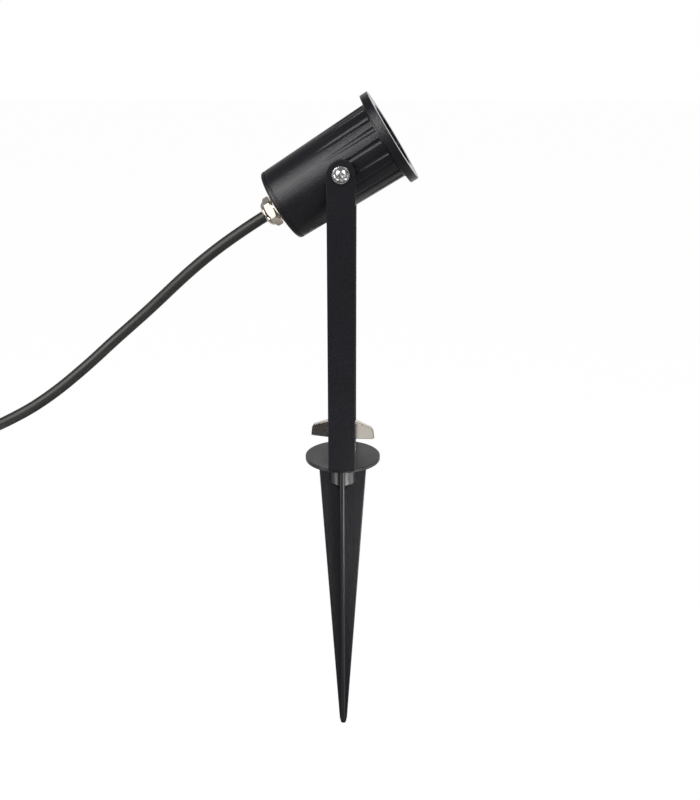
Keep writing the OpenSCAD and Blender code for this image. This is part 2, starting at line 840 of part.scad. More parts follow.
module gland_locknut() {
    color("gainsboro") in_head() difference() {
        hexagon(locknut_af, cap_back, cap_back + locknut_t);
        translate([0, 0, cap_back - over]) cylinder(r = gland_r + thread_fit, h = locknut_t + 2 * over);
    }
}

// The bent strap that carries the holder: two feet on the cap, two legs and a bridge
module holder_bridge() {
    leg_x = bridge_foot_x - inner_boss_r;
    color("silver") in_head() difference() {
        union() {
            translate([-leg_x, -bridge_w / 2, holder_rear - bridge_t]) cube([2 * leg_x, bridge_w, bridge_t]);
            for (side = [-1, 1]) {
                translate([side * (leg_x - bridge_t / 2) - bridge_t / 2, -bridge_w / 2, inner_boss_top])
                    cube([bridge_t, bridge_w, holder_rear - inner_boss_top]);
                translate([side * bridge_foot_x - inner_boss_r, -bridge_w / 2, inner_boss_top])
                    cube([2 * inner_boss_r, bridge_w, bridge_t]);
            }
        }
        for (side = [-1, 1]) translate([side * holder_screw_pitch / 2, 0, holder_rear - bridge_t - over])
            cylinder(r = small_r + thread_fit, h = bridge_t + 2 * over);
        at_bridge_feet() translate([0, 0, inner_boss_top - over])
            cylinder(r = small_r + hole_gap, h = bridge_t + 2 * over);
    }
}

// A pan head screw standing on Z, its shank reaching down
module pan_screw(shank) {
    cylinder(r = small_head_r, h = small_head_h);
    translate([0, 0, -shank]) cylinder(r = small_r, h = shank + small_head_h / 2);
}

module bridge_screws() {
    color("silver") in_head() at_bridge_feet()
        translate([0, 0, inner_boss_top + bridge_t]) pan_screw(inner_screw_len);
}

// The arc that a pin's head or shank sweeps in the holder, from locked to free
module pin_sweep(r, low, high) {
    for (side = [90, 270]) rotate([0, 0, side]) translate([0, 0, low]) {
        rotate_extrude(angle = twist_angle) translate([pin_ring_r - r, 0]) square([2 * r, high - low]);
        translate([pin_ring_r, 0, 0]) cylinder(r = r, h = high - low);
        rotate([0, 0, twist_angle]) translate([pin_ring_r, 0, 0]) cylinder(r = r, h = high - low);
    }
}

module lamp_holder() {
    color("white") in_head() difference() {
        translate([0, 0, holder_rear]) cylinder(r = holder_r, h = holder_h);
        pin_sweep(slot_r, plate_back - over, holder_front + over);
        pin_sweep(chamber_r, plate_back - chamber_h, plate_back);
        for (side = [90, 270]) rotate([0, 0, side + twist_angle])
            translate([pin_ring_r, 0, plate_back - over]) cylinder(r = chamber_r, h = holder_plate_t + 2 * over);
        for (side = [-1, 1]) translate([side * holder_screw_pitch / 2, 0, 0]) {
            translate([0, 0, holder_rear - over]) cylinder(r = small_r + hole_gap, h = holder_h + 2 * over);
            translate([0, 0, holder_front - screw_sink]) cylinder(r = small_head_r + hole_gap, h = screw_sink + over);
        }
        for (side = [0, 180]) rotate([0, 0, side]) {
            translate([-contact_w / 2 - pocket_fit, contact_y - pocket_fit, plate_back - chamber_h])
                cube([contact_w + 2 * pocket_fit, contact_t + 2 * pocket_fit, contact_h]);
            translate([0, lead_hole_y, holder_rear - over])
                cylinder(r = lead_r + hole_gap, h = lead_hole_depth + over);
        }
    }
}

module holder_contacts() {
    color("gold") in_head() for (side = [0, 180]) rotate([0, 0, side])
        translate([-contact_w / 2, contact_y, plate_back - chamber_h]) cube([contact_w, contact_t, contact_h]);
}

module holder_screws() {
    seat = holder_front - screw_sink;
    color("silver") in_head() for (side = [-1, 1])
        translate([side * holder_screw_pitch / 2, 0, seat])
        pan_screw(seat - holder_rear + bridge_t + screw_end_gap);
}

module earth_screw() {
    color("gold") in_head() at_earth_boss()
        translate([0, 0, inner_boss_top + tag_t]) pan_screw(inner_screw_len);
}

// The ring tag under the earth screw, with its crimped barrel towards the beam axis
module earth_tag() {
    color("silver") in_head() at_earth_boss() difference() {
        union() {
            translate([0, 0, inner_boss_top]) cylinder(r = tag_r, h = tag_t);
            translate([-tag_len, -lead_r, inner_boss_top]) cube([tag_len, 2 * lead_r, tag_t]);
        }
        translate([0, 0, inner_boss_top - over]) cylinder(r = small_r + hole_gap, h = tag_t + 2 * over);
    }
}

// Where a core leaves the cable inside the head
function core_place(angle, along) = [core_ring_r * cos(angle), core_ring_r * sin(angle), along];

module holder_lead(angle, side) {
    reach = cable_end_z + lead_r;
    rise = holder_rear - cable_end_z;
    tube(smooth([
        core_place(angle, cable_end_z),
        core_place(angle, reach),
        [0, side * (core_ring_r + lead_hole_y) / 2, cable_end_z + rise / 2],
        [0, side * lead_hole_y, holder_rear - lead_r],
        [0, side * lead_hole_y, holder_rear + lead_hole_depth - lead_r]
    ], 4), lead_r, 8, [1, 0, 0]);
}

module lead_live() {
    color("saddlebrown") in_head() holder_lead(90, 1);
}

module lead_neutral() {
    color("royalblue") in_head() holder_lead(210, -1);
}

module lead_earth() {
    tag_end = [
        (earth_boss_ring - tag_len) * cos(earth_boss_angle),
        (earth_boss_ring - tag_len) * sin(earth_boss_angle),
        inner_boss_top + tag_t + core_gap
    ];
    color("yellowgreen") in_head() tube(smooth([
        core_place(330, cable_end_z),
        core_place(330, cable_end_z + 2 * lead_r),
        [tag_end[0] * earth_mid_share, tag_end[1] * earth_mid_share, cable_end_z + 3 * lead_r],
        tag_end + [0, 0, 2 * lead_r],
        tag_end
    ], 4), lead_r, 8, [0, 1, 0]);
}

module lamp_base() {
    color("white") in_head() difference() {
        rotate_extrude() polygon([
            [0, lamp_base_z],
            [neck_r, lamp_base_z],
            [neck_r, neck_front_z - neck_flare],
            [neck_r + neck_flare, neck_front_z],
            [0, neck_front_z]
        ]);
        for (side = [90, 270]) rotate([0, 0, side]) translate([pin_ring_r, 0, lamp_base_z - over])
            cylinder(r = pin_d / 2 + thread_fit, h = pin_seat + over);
    }
}

module lamp_pins() {
    color("gold") in_head() for (side = [90, 270]) rotate([0, 0, side]) translate([pin_ring_r, 0, 0]) {
        translate([0, 0, pin_head_top - pin_head_h]) cylinder(d = pin_head_d, h = pin_head_h);
        translate([0, 0, pin_head_top - over / 2])
            cylinder(d = pin_d, h = lamp_base_z + pin_seat - pin_head_top + over / 2);
    }
}

// The lamp's outer cup: an open shell with a step for the light board
module lamp_body() {
    low_r = neck_r + neck_flare;
    cone_top = lamp_front_z - rim_h;
    color("whitesmoke") in_head() rotate_extrude() polygon([
        [0, neck_front_z],
        [low_r, neck_front_z],
        [lamp_r - lamp_step, cone_top],
        [lamp_r, cone_top + lamp_step],
        [lamp_r, lamp_front_z],
        [lens_r + pocket_fit, lamp_front_z],
        [lens_r + pocket_fit, lens_back_z],
        [lens_r - lamp_step, lens_back_z],
        [board_r + pocket_fit, board_z + board_t],
        [board_r + pocket_fit, board_z],
        [board_r - lamp_step, board_z],
        [low_r - lamp_wall, neck_front_z + lamp_wall],
        [0, neck_front_z + lamp_wall]
    ]);
}

module light_board() {
    color("white") in_head() translate([0, 0, board_z]) cylinder(r = board_r, h = board_t);
}

module light_chips() {
    color("khaki") in_head() for (i = [0 : chip_count])
        rotate([0, 0, i * 360 / chip_count]) translate([i < chip_count ? chip_ring_r : 0, 0, board_z + board_t])
        translate([-chip_w / 2, -chip_w / 2, 0]) cube([chip_w, chip_w, chip_h]);
}

module lamp_lens() {
    color("aliceblue") in_head() translate([0, 0, lens_back_z]) cylinder(r = lens_r, h = lens_t);
}

module cable_in_gland() {
    color("black") in_head() translate([0, 0, stub_reach]) cylinder(r = cable_r, h = cable_end_z - stub_reach);
}

module cable_run() {
    color("black") tube(smooth(run_route, run_steps), cable_r, 12, [0, 1, 0]);
}

module cable_coil() {
    color("black") tube(coil_path, cable_r, 6, [0, 0, 1]);
}

// A square strap round the coil's bundle, with its small locking head on the outer side
module cable_tie() {
    inner_w = coil_step * coil_turns + cable_d + 2 * tie_slack;
    inner_h = 2 * coil_rise + cable_d;
    middle = coil_r - coil_step * coil_turns / 2;
    translate([middle, 0, 0]) {
        difference() {
            translate([-inner_w / 2 - tie_t, -tie_w / 2, 0])
                cube([inner_w + 2 * tie_t, tie_w, inner_h + 2 * tie_t]);
            translate([-inner_w / 2, -tie_w / 2 - over, tie_t]) cube([inner_w, tie_w + 2 * over, inner_h]);
        }
        translate([inner_w / 2 + tie_t, -tie_head_w / 2, (inner_h - tie_head_l) / 2])
            cube([tie_head_t, tie_head_w, tie_head_l]);
    }
}

module cable_ties() {
    color("dimgray") translate([coil_x, coil_y, 0]) for (angle = [45, 225]) rotate([0, 0, angle]) cable_tie();
}

// One core at the prepared end, fanned out a little from its neighbours
module at_core(angle) {
    translate(cable_end) rotate([0, 90, 0]) rotate([0, 0, angle]) translate([core_ring_r, 0, core_gap])
        rotate([0, core_fan, 0]) children();
}

module end_core(angle) {
    at_core(angle) cylinder(d = core_d, h = bare_len);
}

module core_live() {
    color("saddlebrown") end_core(60);
}

module core_neutral() {
    color("royalblue") end_core(180);
}

module core_earth() {
    color("yellowgreen") end_core(300);
}

module core_ferrules() {
    color("silver") for (angle = [60, 180, 300]) at_core(angle)
        translate([0, 0, bare_len]) cylinder(r = ferrule_r, h = ferrule_len);
}

ground_spike();
clamp_stud();
flat_washer();
spring_washer();
wing_nut();
bracket();
head_casting();
friction_washers();
pivot_washers();
pivot_screws();
bezel();
cover_glass();
glass_gasket();
rear_cap();
cap_gasket();
cap_screws();
gland_washer();
gland_body();
gland_seal();
gland_nut();
gland_locknut();
holder_bridge();
bridge_screws();
lamp_holder();
holder_contacts();
holder_screws();
earth_screw();
earth_tag();
lead_live();
lead_neutral();
lead_earth();
lamp_base();
lamp_pins();
lamp_body();
light_board();
light_chips();
lamp_lens();
cable_in_gland();
cable_run();
cable_coil();
cable_ties();
core_live();
core_neutral();
core_earth();
core_ferrules();
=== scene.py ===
# %% [markdown]
# # A garden spotlight on a spike
# The light is a black round head with flutes, held by a bent flat bar over a ground disc and a spike.
# The solids come from a packed model, which stays where it is. Every piece made here is dressed over
# those solids, in metres, in the same frame: the origin is the middle of the disc's underside.

# %% Load the packed model
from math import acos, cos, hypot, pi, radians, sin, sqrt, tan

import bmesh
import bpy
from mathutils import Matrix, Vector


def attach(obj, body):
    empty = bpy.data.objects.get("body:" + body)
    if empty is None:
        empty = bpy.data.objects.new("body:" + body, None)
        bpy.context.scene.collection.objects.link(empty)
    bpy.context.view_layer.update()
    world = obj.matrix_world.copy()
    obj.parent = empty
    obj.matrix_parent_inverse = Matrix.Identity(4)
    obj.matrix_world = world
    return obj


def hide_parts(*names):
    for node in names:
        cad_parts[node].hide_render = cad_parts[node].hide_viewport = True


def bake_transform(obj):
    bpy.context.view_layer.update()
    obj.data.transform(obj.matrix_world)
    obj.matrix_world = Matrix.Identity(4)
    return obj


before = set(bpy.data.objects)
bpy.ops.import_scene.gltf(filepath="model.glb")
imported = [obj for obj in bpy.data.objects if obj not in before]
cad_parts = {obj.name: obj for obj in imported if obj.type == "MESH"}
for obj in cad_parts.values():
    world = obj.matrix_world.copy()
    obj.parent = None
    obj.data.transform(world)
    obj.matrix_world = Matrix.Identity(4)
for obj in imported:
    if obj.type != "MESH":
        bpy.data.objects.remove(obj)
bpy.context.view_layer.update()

# %% [markdown]
# ## Tools and units
# Blender counts in metres, while a light like this is drawn in millimetres, so one factor turns the
# one into the other.

scene = bpy.context.scene
MM = 0.001

# %% [markdown]
# ## The camera
# A product photo is taken from a little above, with a lens of about 50 mm on a full frame. The place
# was found by matching the rings of the head, the disc and the bar with where the photo shows them.
# A track quaternion turns the camera's -Z axis to its target, which is simpler than three angles.

# %% The camera
camera_at = Vector((19.41, -797.95, 341.59)) * MM
camera_aim = Vector((5.65, 0, 48.43)) * MM
lens = bpy.data.cameras.new("photo_lens")
lens.lens, lens.sensor_width = 49.9, 36
camera = bpy.data.objects.new("photo_camera", lens)
scene.collection.objects.link(camera)
scene.camera = camera
camera.location = camera_at
camera.rotation_euler = (camera_aim - camera_at).to_track_quat("-Z", "Y").to_euler()
print("the camera stands", round((camera_aim - camera_at).length, 3), "m from its aim")

# %% [markdown]
# ## From rings of points to a solid
# Most pieces of this light are turned, drawn or rolled: a lathe part, a tube or a flat bar with soft
# edges. All of them are a row of rings, each with the same number of points, and a skin over them.
# One function therefore makes every mesh. It takes rings in millimetres and a matrix that places them.
# Where a ring shrinks to one place, its points are welded, so that no face without area is left.

# %% A skin over rings of points
WELD = 1e-7     # metres: points closer together than this become one


def around(count):
    """Directions all round a circle, as pairs of a cosine and a sine."""
    return [(cos(2 * pi * k / count), sin(2 * pi * k / count)) for k in range(count)]


def skin(name, rings, place=Matrix(), wrap=False, crease=35):
    """A mesh over rings of points. With wrap the last ring joins the first, else both are closed."""
    mesh = bmesh.new()
    rows = [[mesh.verts.new(place @ (Vector(p) * MM)) for p in ring] for ring in rings]
    count = len(rows[0])
    pairs = list(zip(rows, rows[1:])) + ([(rows[-1], rows[0])] if wrap else [])
    for low, high in pairs:
        for i in range(count):
            j = (i + 1) % count
            mesh.faces.new((low[i], low[j], high[j], high[i]))
    if not wrap:
        mesh.faces.new(list(reversed(rows[0])))
        mesh.faces.new(rows[-1])
    bmesh.ops.remove_doubles(mesh, verts=mesh.verts, dist=WELD)
    bmesh.ops.recalc_face_normals(mesh, faces=mesh.faces)
    data = bpy.data.meshes.new(name)
    mesh.to_mesh(data)
    mesh.free()
    data.shade_smooth()
    data.set_sharp_from_angle(angle=radians(crease))
    piece = bpy.data.objects.new(name, data)
    scene.collection.objects.link(piece)
    return piece


print("eight directions:", [(round(c, 1), round(s, 1)) for c, s in around(8)])

# %% [markdown]
# ## Placing a piece
# The matrix of a place is worked out once: the head is tilted about the pivot, its Z is the beam, and
# each side place looks out of the head along a pivot screw. A small function puts a finished piece on
# its body, and names its finish and the solids that it stands for.

# %% Places, and the last step of every piece
PIVOT_Z = 225
TILT = 32.2
head_place = (Matrix.Translation(Vector((0, 0, PIVOT_Z)) * MM)
              @ Matrix.Rotation(radians(90 - TILT), 4, "Y"))
side_places = [head_place @ Matrix.Rotation(radians(-90 * side), 4, "X") for side in (-1, 1)]


def settle(piece, body, material, replaces=()):
    """Gives a piece its finish and its body, and names the solids that it stands for."""
    piece.data.materials.clear()
    piece.data.materials.append(material)
    if body:
        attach(piece, body)
    if replaces:
        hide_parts(*replaces)
    return piece


print("the beam leaves", TILT, "degrees above the ground")

# %% [markdown]
# ## Shader maths in plain expressions
# A finish is a few noises added, scaled and mixed. Written node by node that is long and hard to
# read, so a socket is wrapped in a class whose + - * and / add the Math nodes. The reflected forms
# let a plain number stand on the left, as in 1 - mask.

# %% A socket that can be used in sums
class Value:
    def __init__(self, paint, socket):
        self.paint, self.socket = paint, socket

    def maths(self, operation, left, right):
        return self.paint.node("ShaderNodeMath", {"operation": operation}, {0: left, 1: right})

    def __add__(self, other):
        return self.maths("ADD", self, other)

    def __radd__(self, other):
        return self.maths("ADD", other, self)

    def __sub__(self, other):
        return self.maths("SUBTRACT", self, other)

    def __rsub__(self, other):
        return self.maths("SUBTRACT", other, self)

    def __mul__(self, other):
        return self.maths("MULTIPLY", self, other)

    def __rmul__(self, other):
        return self.maths("MULTIPLY", other, self)

    def __truediv__(self, other):
        return self.maths("DIVIDE", self, other)

    def above(self, level):
        return self.maths("GREATER_THAN", self, level)

    def larger(self, other):
        return self.maths("MAXIMUM", self, other)


print("a Value can do", [name.strip("_") for name in vars(Value) if callable(getattr(Value, name))])

# %% [markdown]
# ## One way to add a node
# A material is a tree of nodes. Every node comes from one method, which sets the node's own settings
# first and then its sockets: a Value is linked, and a number is written on the socket. The
# few nodes that all finishes share get short names. Noise reads the object's own coordinates, so the
# grain is as large on a screw as on the head, and sits still when a piece moves.

# %% A material and its nodes
class Paint:
    def __init__(self, name, tree=None):
        if tree is None:
            self.material = bpy.data.materials.new(name)
            self.material.use_nodes = True
            tree = self.material.node_tree
        self.tree = tree
        self.tree.nodes.clear()

    def node(self, kind, settings=(), values=(), out=0):
        made = self.tree.nodes.new(kind)
        for name, value in dict(settings).items():
            if name == "stops":
                for element, (place, shade) in zip(made.color_ramp.elements, value):
                    element.position, element.color = place, (shade, shade, shade, 1)
            else:
                setattr(made, name, value)
        for name, value in dict(values).items():
            if isinstance(value, Value):
                self.tree.links.new(value.socket, made.inputs[name])
            else:
                made.inputs[name].default_value = value
        return Value(self, made.outputs[out]) if len(made.outputs) else None

    def where(self):
        return self.node("ShaderNodeTexCoord", out="Object")

    def axis(self, vector, letter):
        return self.node("ShaderNodeSeparateXYZ", {}, {"Vector": vector}, out=letter)

    def noise(self, scale, detail=2.0, roughness=0.5):
        return self.node("ShaderNodeTexNoise", {}, {
            "Vector": self.where(), "Scale": scale, "Detail": detail, "Roughness": roughness})

    def ramp(self, value, low, high):
        return self.node("ShaderNodeValToRGB", {"stops": ((low, 0), (high, 1))}, {0: value})

    def blend(self, share, first, second):
        """A Mix node has sockets for each kind of data. Those of a colour are 6, 7 and output 2."""
        return self.node("ShaderNodeMix", {"data_type": "RGBA"}, {0: share, 6: first, 7: second}, out=2)

    def bump(self, height, depth):
        return self.node("ShaderNodeBump", {}, {"Distance": depth, "Height": height})

    def surface(self, **values):
        sockets = {name.replace("_", " "): value for name, value in values.items()}
        shader = self.node("ShaderNodeBsdfPrincipled", {}, sockets)
        self.node("ShaderNodeOutputMaterial", {}, {"Surface": shader})
        return self.material


def colour(red, green, blue):
    return (red, green, blue, 1.0)


print("a Paint offers", [name for name in vars(Paint) if not name.startswith("_")])

# %% [markdown]
# ## The powder coat
# The casting, bar, disc and spike carry a black powder coat. It is never flat: the powder melts into
# a skin with a fine grain, called orange peel, and its gloss changes a little from place to place.
# Two noises make the grain, and a broad one moves the gloss and the depth of the black. The bezel's
# face and the edges of the spike are smoother, because a turned or thin edge takes less powder.

# %% Powder coat
def powder_coat(name, dark, light, gloss, depth, shine):
    paint = Paint(name)
    grain = paint.noise(scale=900, detail=3, roughness=0.65)
    fine = paint.noise(scale=4200, detail=1.5)
    broad = paint.noise(scale=38, detail=3)
    return paint.surface(
        Base_Color=paint.blend(paint.ramp(grain * 0.5 + broad * 0.5, 0.35, 0.65), dark, light),
        Roughness=gloss + (broad - 0.5) * 0.16 + (grain - 0.5) * 0.12,
        Specular_IOR_Level=shine,
        Normal=paint.bump(grain + fine * 0.35, depth))


head_blacks = colour(0.0038, 0.0033, 0.0066), colour(0.0062, 0.0056, 0.0096)
spike_blacks = colour(0.0034, 0.0030, 0.0060), colour(0.0060, 0.0055, 0.0090)
black_coat = powder_coat("black_coat", *head_blacks, gloss=0.38, depth=0.00014, shine=0.44)
dark_coat = powder_coat("dark_coat", *spike_blacks, gloss=0.38, depth=0.00014, shine=0.54)
face_coat = powder_coat("face_coat", *head_blacks, gloss=0.20, depth=0.00001, shine=0.5)
boss_coat = powder_coat("boss_coat", *spike_blacks, gloss=0.32, depth=0.00005, shine=0.9)
print("powder coats:", [coat.name for coat in (black_coat, dark_coat, face_coat, boss_coat)])

# %% [markdown]
# ## Bare metals
# Steel, nickel, zinc and brass differ in colour and in how they were finished. A polished screw has a
# low roughness with faint smears, and a rolled or cast part is duller and mottled. A fine noise makes
# the smears and a broad one the mottling, and both move the roughness by the same amount.

# %% Bare metals
def bare_metal(name, tint, deep, gloss, mottle, depth):
    paint = Paint(name)
    smear = paint.noise(scale=700, detail=3, roughness=0.6)
    cloud = paint.noise(scale=120, detail=4, roughness=0.6)
    return paint.surface(
        Base_Color=paint.blend(paint.ramp(cloud, 0.3, 0.7), deep, tint),
        Metallic=1.0,
        Roughness=gloss + (smear - 0.5) * mottle + (cloud - 0.5) * mottle,
        Normal=paint.bump(smear, depth))


# name, tint, deeper tint, gloss, mottle, and the depth of the bump in metres
steel = bare_metal(
    "steel", colour(0.60, 0.59, 0.57), colour(0.48, 0.47, 0.45), 0.30, 0.18, 0.00001)
polished_steel = bare_metal(
    "polished_steel", colour(0.86, 0.85, 0.84), colour(0.74, 0.73, 0.72), 0.20, 0.04, 0.0000005)
nickel = bare_metal(
    "nickel", colour(0.86, 0.79, 0.71), colour(0.76, 0.68, 0.59), 0.15, 0.08, 0.000002)
cast_zinc = bare_metal(
    "cast_zinc", colour(0.66, 0.61, 0.55), colour(0.60, 0.55, 0.49), 0.15, 0.05, 0.000001)
brass = bare_metal(
    "brass", colour(0.80, 0.62, 0.30), colour(0.62, 0.45, 0.20), 0.25, 0.15, 0.000006)
lamp_shell = bare_metal(
    "lamp_shell", colour(0.80, 0.80, 0.79), colour(0.70, 0.70, 0.69), 0.38, 0.10, 0.00001)
metals = (steel, polished_steel, nickel, cast_zinc, brass, lamp_shell)
print("bare metals:", [metal.name for metal in metals])

# %% [markdown]
# ## Rubber, plastics and ceramic
# The cable's rubber is matte with fine specks, and slightly olive. Plastics are smoother, and a glazed
# ceramic has small specks under its gloss. One function covers them all, with the scale of the grain
# as the main difference.

# %% Rubber, plastics and ceramic
def soft_finish(name, dark, light, gloss, grain_scale, depth):
    paint = Paint(name)
    grain = paint.noise(scale=grain_scale, detail=3, roughness=0.6)
    broad = paint.noise(scale=60, detail=3)
    return paint.surface(
        Base_Color=paint.blend(paint.ramp(grain * 0.6 + broad * 0.4, 0.35, 0.65), dark, light),
        Roughness=gloss + (broad - 0.5) * 0.12 + (grain - 0.5) * 0.08,
        Normal=paint.bump(grain, depth))


# name, dark and light colour, gloss, scale of the grain, and the depth of the bump in metres
black_rubber = soft_finish(
    "black_rubber", colour(0.016, 0.016, 0.014), colour(0.028, 0.028, 0.025), 0.44, 1900, 0.00005)
black_nylon = soft_finish(
    "black_nylon", colour(0.015, 0.015, 0.016), colour(0.026, 0.026, 0.027), 0.45, 1500, 0.00002)
ceramic = soft_finish(
    "ceramic", colour(0.78, 0.76, 0.71), colour(0.86, 0.85, 0.81), 0.25, 900, 0.00001)
white_plastic = soft_finish(
    "white_plastic", colour(0.80, 0.80, 0.78), colour(0.86, 0.86, 0.84), 0.35, 1200, 0.00001)
light_chip = soft_finish(
    "light_chip", colour(0.78, 0.62, 0.12), colour(0.86, 0.72, 0.18), 0.30, 1500, 0.00001)
brown_insulation = soft_finish(
    "brown_insulation", colour(0.12, 0.045, 0.02), colour(0.17, 0.065, 0.03), 0.38, 900, 0.00001)
blue_insulation = soft_finish(
    "blue_insulation", colour(0.02, 0.08, 0.33), colour(0.03, 0.11, 0.42), 0.38, 900, 0.00001)
print("rubber:", black_rubber.name, "and plastics:", black_nylon.name, white_plastic.name)

# %% [markdown]
# ## Green and yellow insulation
# An earth core is green with a yellow stripe along it. The cores lie along X at the cable's free end,
# so bands across Y give each of them a stripe along its length. A Math node in its ping-pong mode
# makes a wave of the place, and one threshold turns the wave into bands.

# %% Green and yellow insulation
def striped(name, first, second, pitch):
    paint = Paint(name)
    bands = paint.axis(paint.where(), "Y") / pitch
    stripe = bands.maths("PINGPONG", bands, 1.0).above(0.6)
    grain = paint.noise(scale=900)
    return paint.surface(
        Base_Color=paint.blend(stripe, first, second),
        Roughness=0.36 + (grain - 0.5) * 0.1,
        Normal=paint.bump(grain, 0.00001))


STRIPE_PITCH = 1.3 * MM
earth_insulation = striped(
    "earth_insulation", colour(0.07, 0.30, 0.03), colour(0.70, 0.60, 0.04), STRIPE_PITCH)
print("stripes every", round(2 * STRIPE_PITCH / MM, 1), "mm")

# %% [markdown]
# ## Glass
# The cover glass is clear and hardly seen, the lamp's lens a little milky. Both let light through by
# the shader's transmission. A faint noise in the roughness stands for dust and finger marks.

# %% Glass
def glass_finish(name, tint, gloss, through, haze):
    paint = Paint(name)
    dust = paint.noise(scale=260, detail=4, roughness=0.65)
    return paint.surface(
        Base_Color=tint, Roughness=gloss + (dust - 0.5) * haze, Transmission_Weight=through, IOR=1.45)


# name, tint, gloss, how much light goes through, haze
clear_glass = glass_finish("clear_glass", colour(0.95, 0.97, 0.97), 0.03, 1.0, 0.03)
clear_lens = glass_finish("clear_lens", colour(0.90, 0.92, 0.92), 0.22, 0.75, 0.10)
print("glass:", clear_glass.name, clear_lens.name)

# %% [markdown]
# ## The cable's route
# The rubber cable leaves the gland in line with the beam, sags to the ground and ends in a coil of
# the length that the photo doesn't show, just outside the view. The route repeats the points of the
# solid model. A Catmull-Rom curve passes through every point, so the cable lies where its solid is.
# The coil has one turn on top, a middle layer that winds inwards and a low one that winds out again.

# %% The cable's route
CABLE_D = 8.4
COIL_X, COIL_Y, COIL_R = -347, 19, 55
COIL_STEP, COIL_RISE, TURNS = 10.4, 9.6, 2     # from turn to turn, layer to layer, turns in a layer
COIL_LOW = CABLE_D / 2 + 1.2
COIL_MID, COIL_TOP = COIL_LOW + COIL_RISE, COIL_LOW + 2 * COIL_RISE


def on_beam(along):
    """A point on the head's axis, so far from the pivot towards the front."""
    return Vector((along * cos(radians(TILT)), 0, PIVOT_Z + along * sin(radians(TILT))))


def smooth(points, steps):
    """A Catmull-Rom curve through the points. The first and the last only give its direction."""
    curve = [points[0]]
    for i in range(1, len(points) - 2):
        a, b, c, d = points[i - 1:i + 3]
        for t in (k / steps for k in range(steps)):
            curve.append(b + t * (c - a) / 2 + t * t * (2 * a - 5 * b + 4 * c - d) / 2
                         + t * t * t * (3 * b - a - 3 * c + d) / 2)
    return curve + [points[-2], points[-1]]


def coil_at(turned):
    """The cable's middle in the coil, by the degrees turned since the middle layer's start."""
    layer, inner_r = 360 * TURNS, COIL_R - COIL_STEP * TURNS
    if turned < 0:
        radius, height = COIL_R, COIL_TOP - COIL_RISE * max(0, turned + 180) / 180
    elif turned < layer:
        radius, height = COIL_R - COIL_STEP * turned / 360, COIL_MID
    elif turned < layer + 180:
        radius, height = inner_r, COIL_MID - COIL_RISE * (turned - layer) / 180
    else:
        radius, height = inner_r + COIL_STEP * (turned - layer - 180) / 360, COIL_LOW
    angle = radians(-90 - turned)
    return Vector((COIL_X + radius * cos(angle), COIL_Y + radius * sin(angle), height))


run_end = Vector((COIL_X + 10, COIL_Y - COIL_R, COIL_TOP))
by_hand = [(-77, 0, 176), (-91, 0, 166), (-105, 0, 155), (-120, 0, 142), (-145, 0, 119),
           (-170.5, -3, 97), (-193, -9.5, 77.5), (-217, -17, 59), (-240.5, -24, 45),
           (-270.5, -31, 32.5), (-302, -35, 26)]
run = smooth([on_beam(-67), on_beam(-67 - CABLE_D)] + [Vector(p) for p in by_hand]
             + [run_end + Vector((CABLE_D, 0, 0)), run_end], 5)
turn_end = 2 * 360 * TURNS + 180
tail = coil_at(turn_end)
coil = [coil_at(a) for a in range(-360, turn_end + 1, 6)]
coil += [tail + Vector((6.5, 0, 0)), tail + Vector((13, 0, 0))]
cable_path = [on_beam(a) for a in (-43.4, -50, -57, -62)] + run + coil
cable_length = sum((b - a).length for a, b in zip(cable_path, cable_path[1:]))
print("the cable is", round(cable_length), "mm long, with", len(cable_path), "points")

# %% [markdown]
# ## The cable
# A tube is a ring carried along the path. The ring must not twist, so each one is the last one turned
# by the smallest rotation between two headings.

# %% The cable
def tube_rings(path, radius, sides):
    """Rings across a tube along the path, without a twist."""
    rings, across = [], Vector((0, 1, 0))
    heading = (path[1] - path[0]).normalized()
    for i, point in enumerate(path):
        new = (path[min(i + 1, len(path) - 1)] - path[max(i - 1, 0)]).normalized()
        across = heading.rotation_difference(new) @ across
        across = (across - new * across.dot(new)).normalized()
        heading = new
        other = heading.cross(across)
        rings.append([point + radius * (c * across + s * other) for c, s in around(sides)])
    return rings


cable = skin("cable", tube_rings(cable_path, CABLE_D / 2, 20), crease=50)
settle(cable, None, black_rubber, ["cable_in_gland", "cable_run", "cable_coil"])
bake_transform(cable)
print("the cable has", len(cable.data.vertices), "points")

# %% [markdown]
# ## What is on the cable's free end
# The cores and their ferrules keep the solids' shapes, because they are plain round wire. They only
# get smooth shading and their finish.

# %% A solid that keeps its shape
def keep(node, material, crease=30):
    """Leaves a solid as it is and gives it smooth shading and a finish."""
    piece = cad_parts[node]
    piece.data.materials.clear()
    piece.data.materials.append(material)
    for face in piece.data.polygons:
        face.material_index = 0
    piece.data.shade_smooth()
    piece.data.set_sharp_from_angle(angle=radians(crease))
    return piece


cores = [keep("core_live", brown_insulation),
         keep("core_neutral", blue_insulation),
         keep("core_earth", earth_insulation),
         keep("core_ferrules", steel)]
print("on the free end:", [core.name for core in cores])

# %% [markdown]
# ## Soft corners
# No real edge is sharp, and it is the small radius that catches the light. A Bevel modifier would do
# it too, but an outline that is rounded before it becomes a mesh gives each corner its own radius.
# Each arc also gets a point just before and after it, so that the smooth shading stays on the arc.

# %% An outline with round corners
NEARLY_STRAIGHT = 1.55     # radians in half a corner: one so flat stays as it is


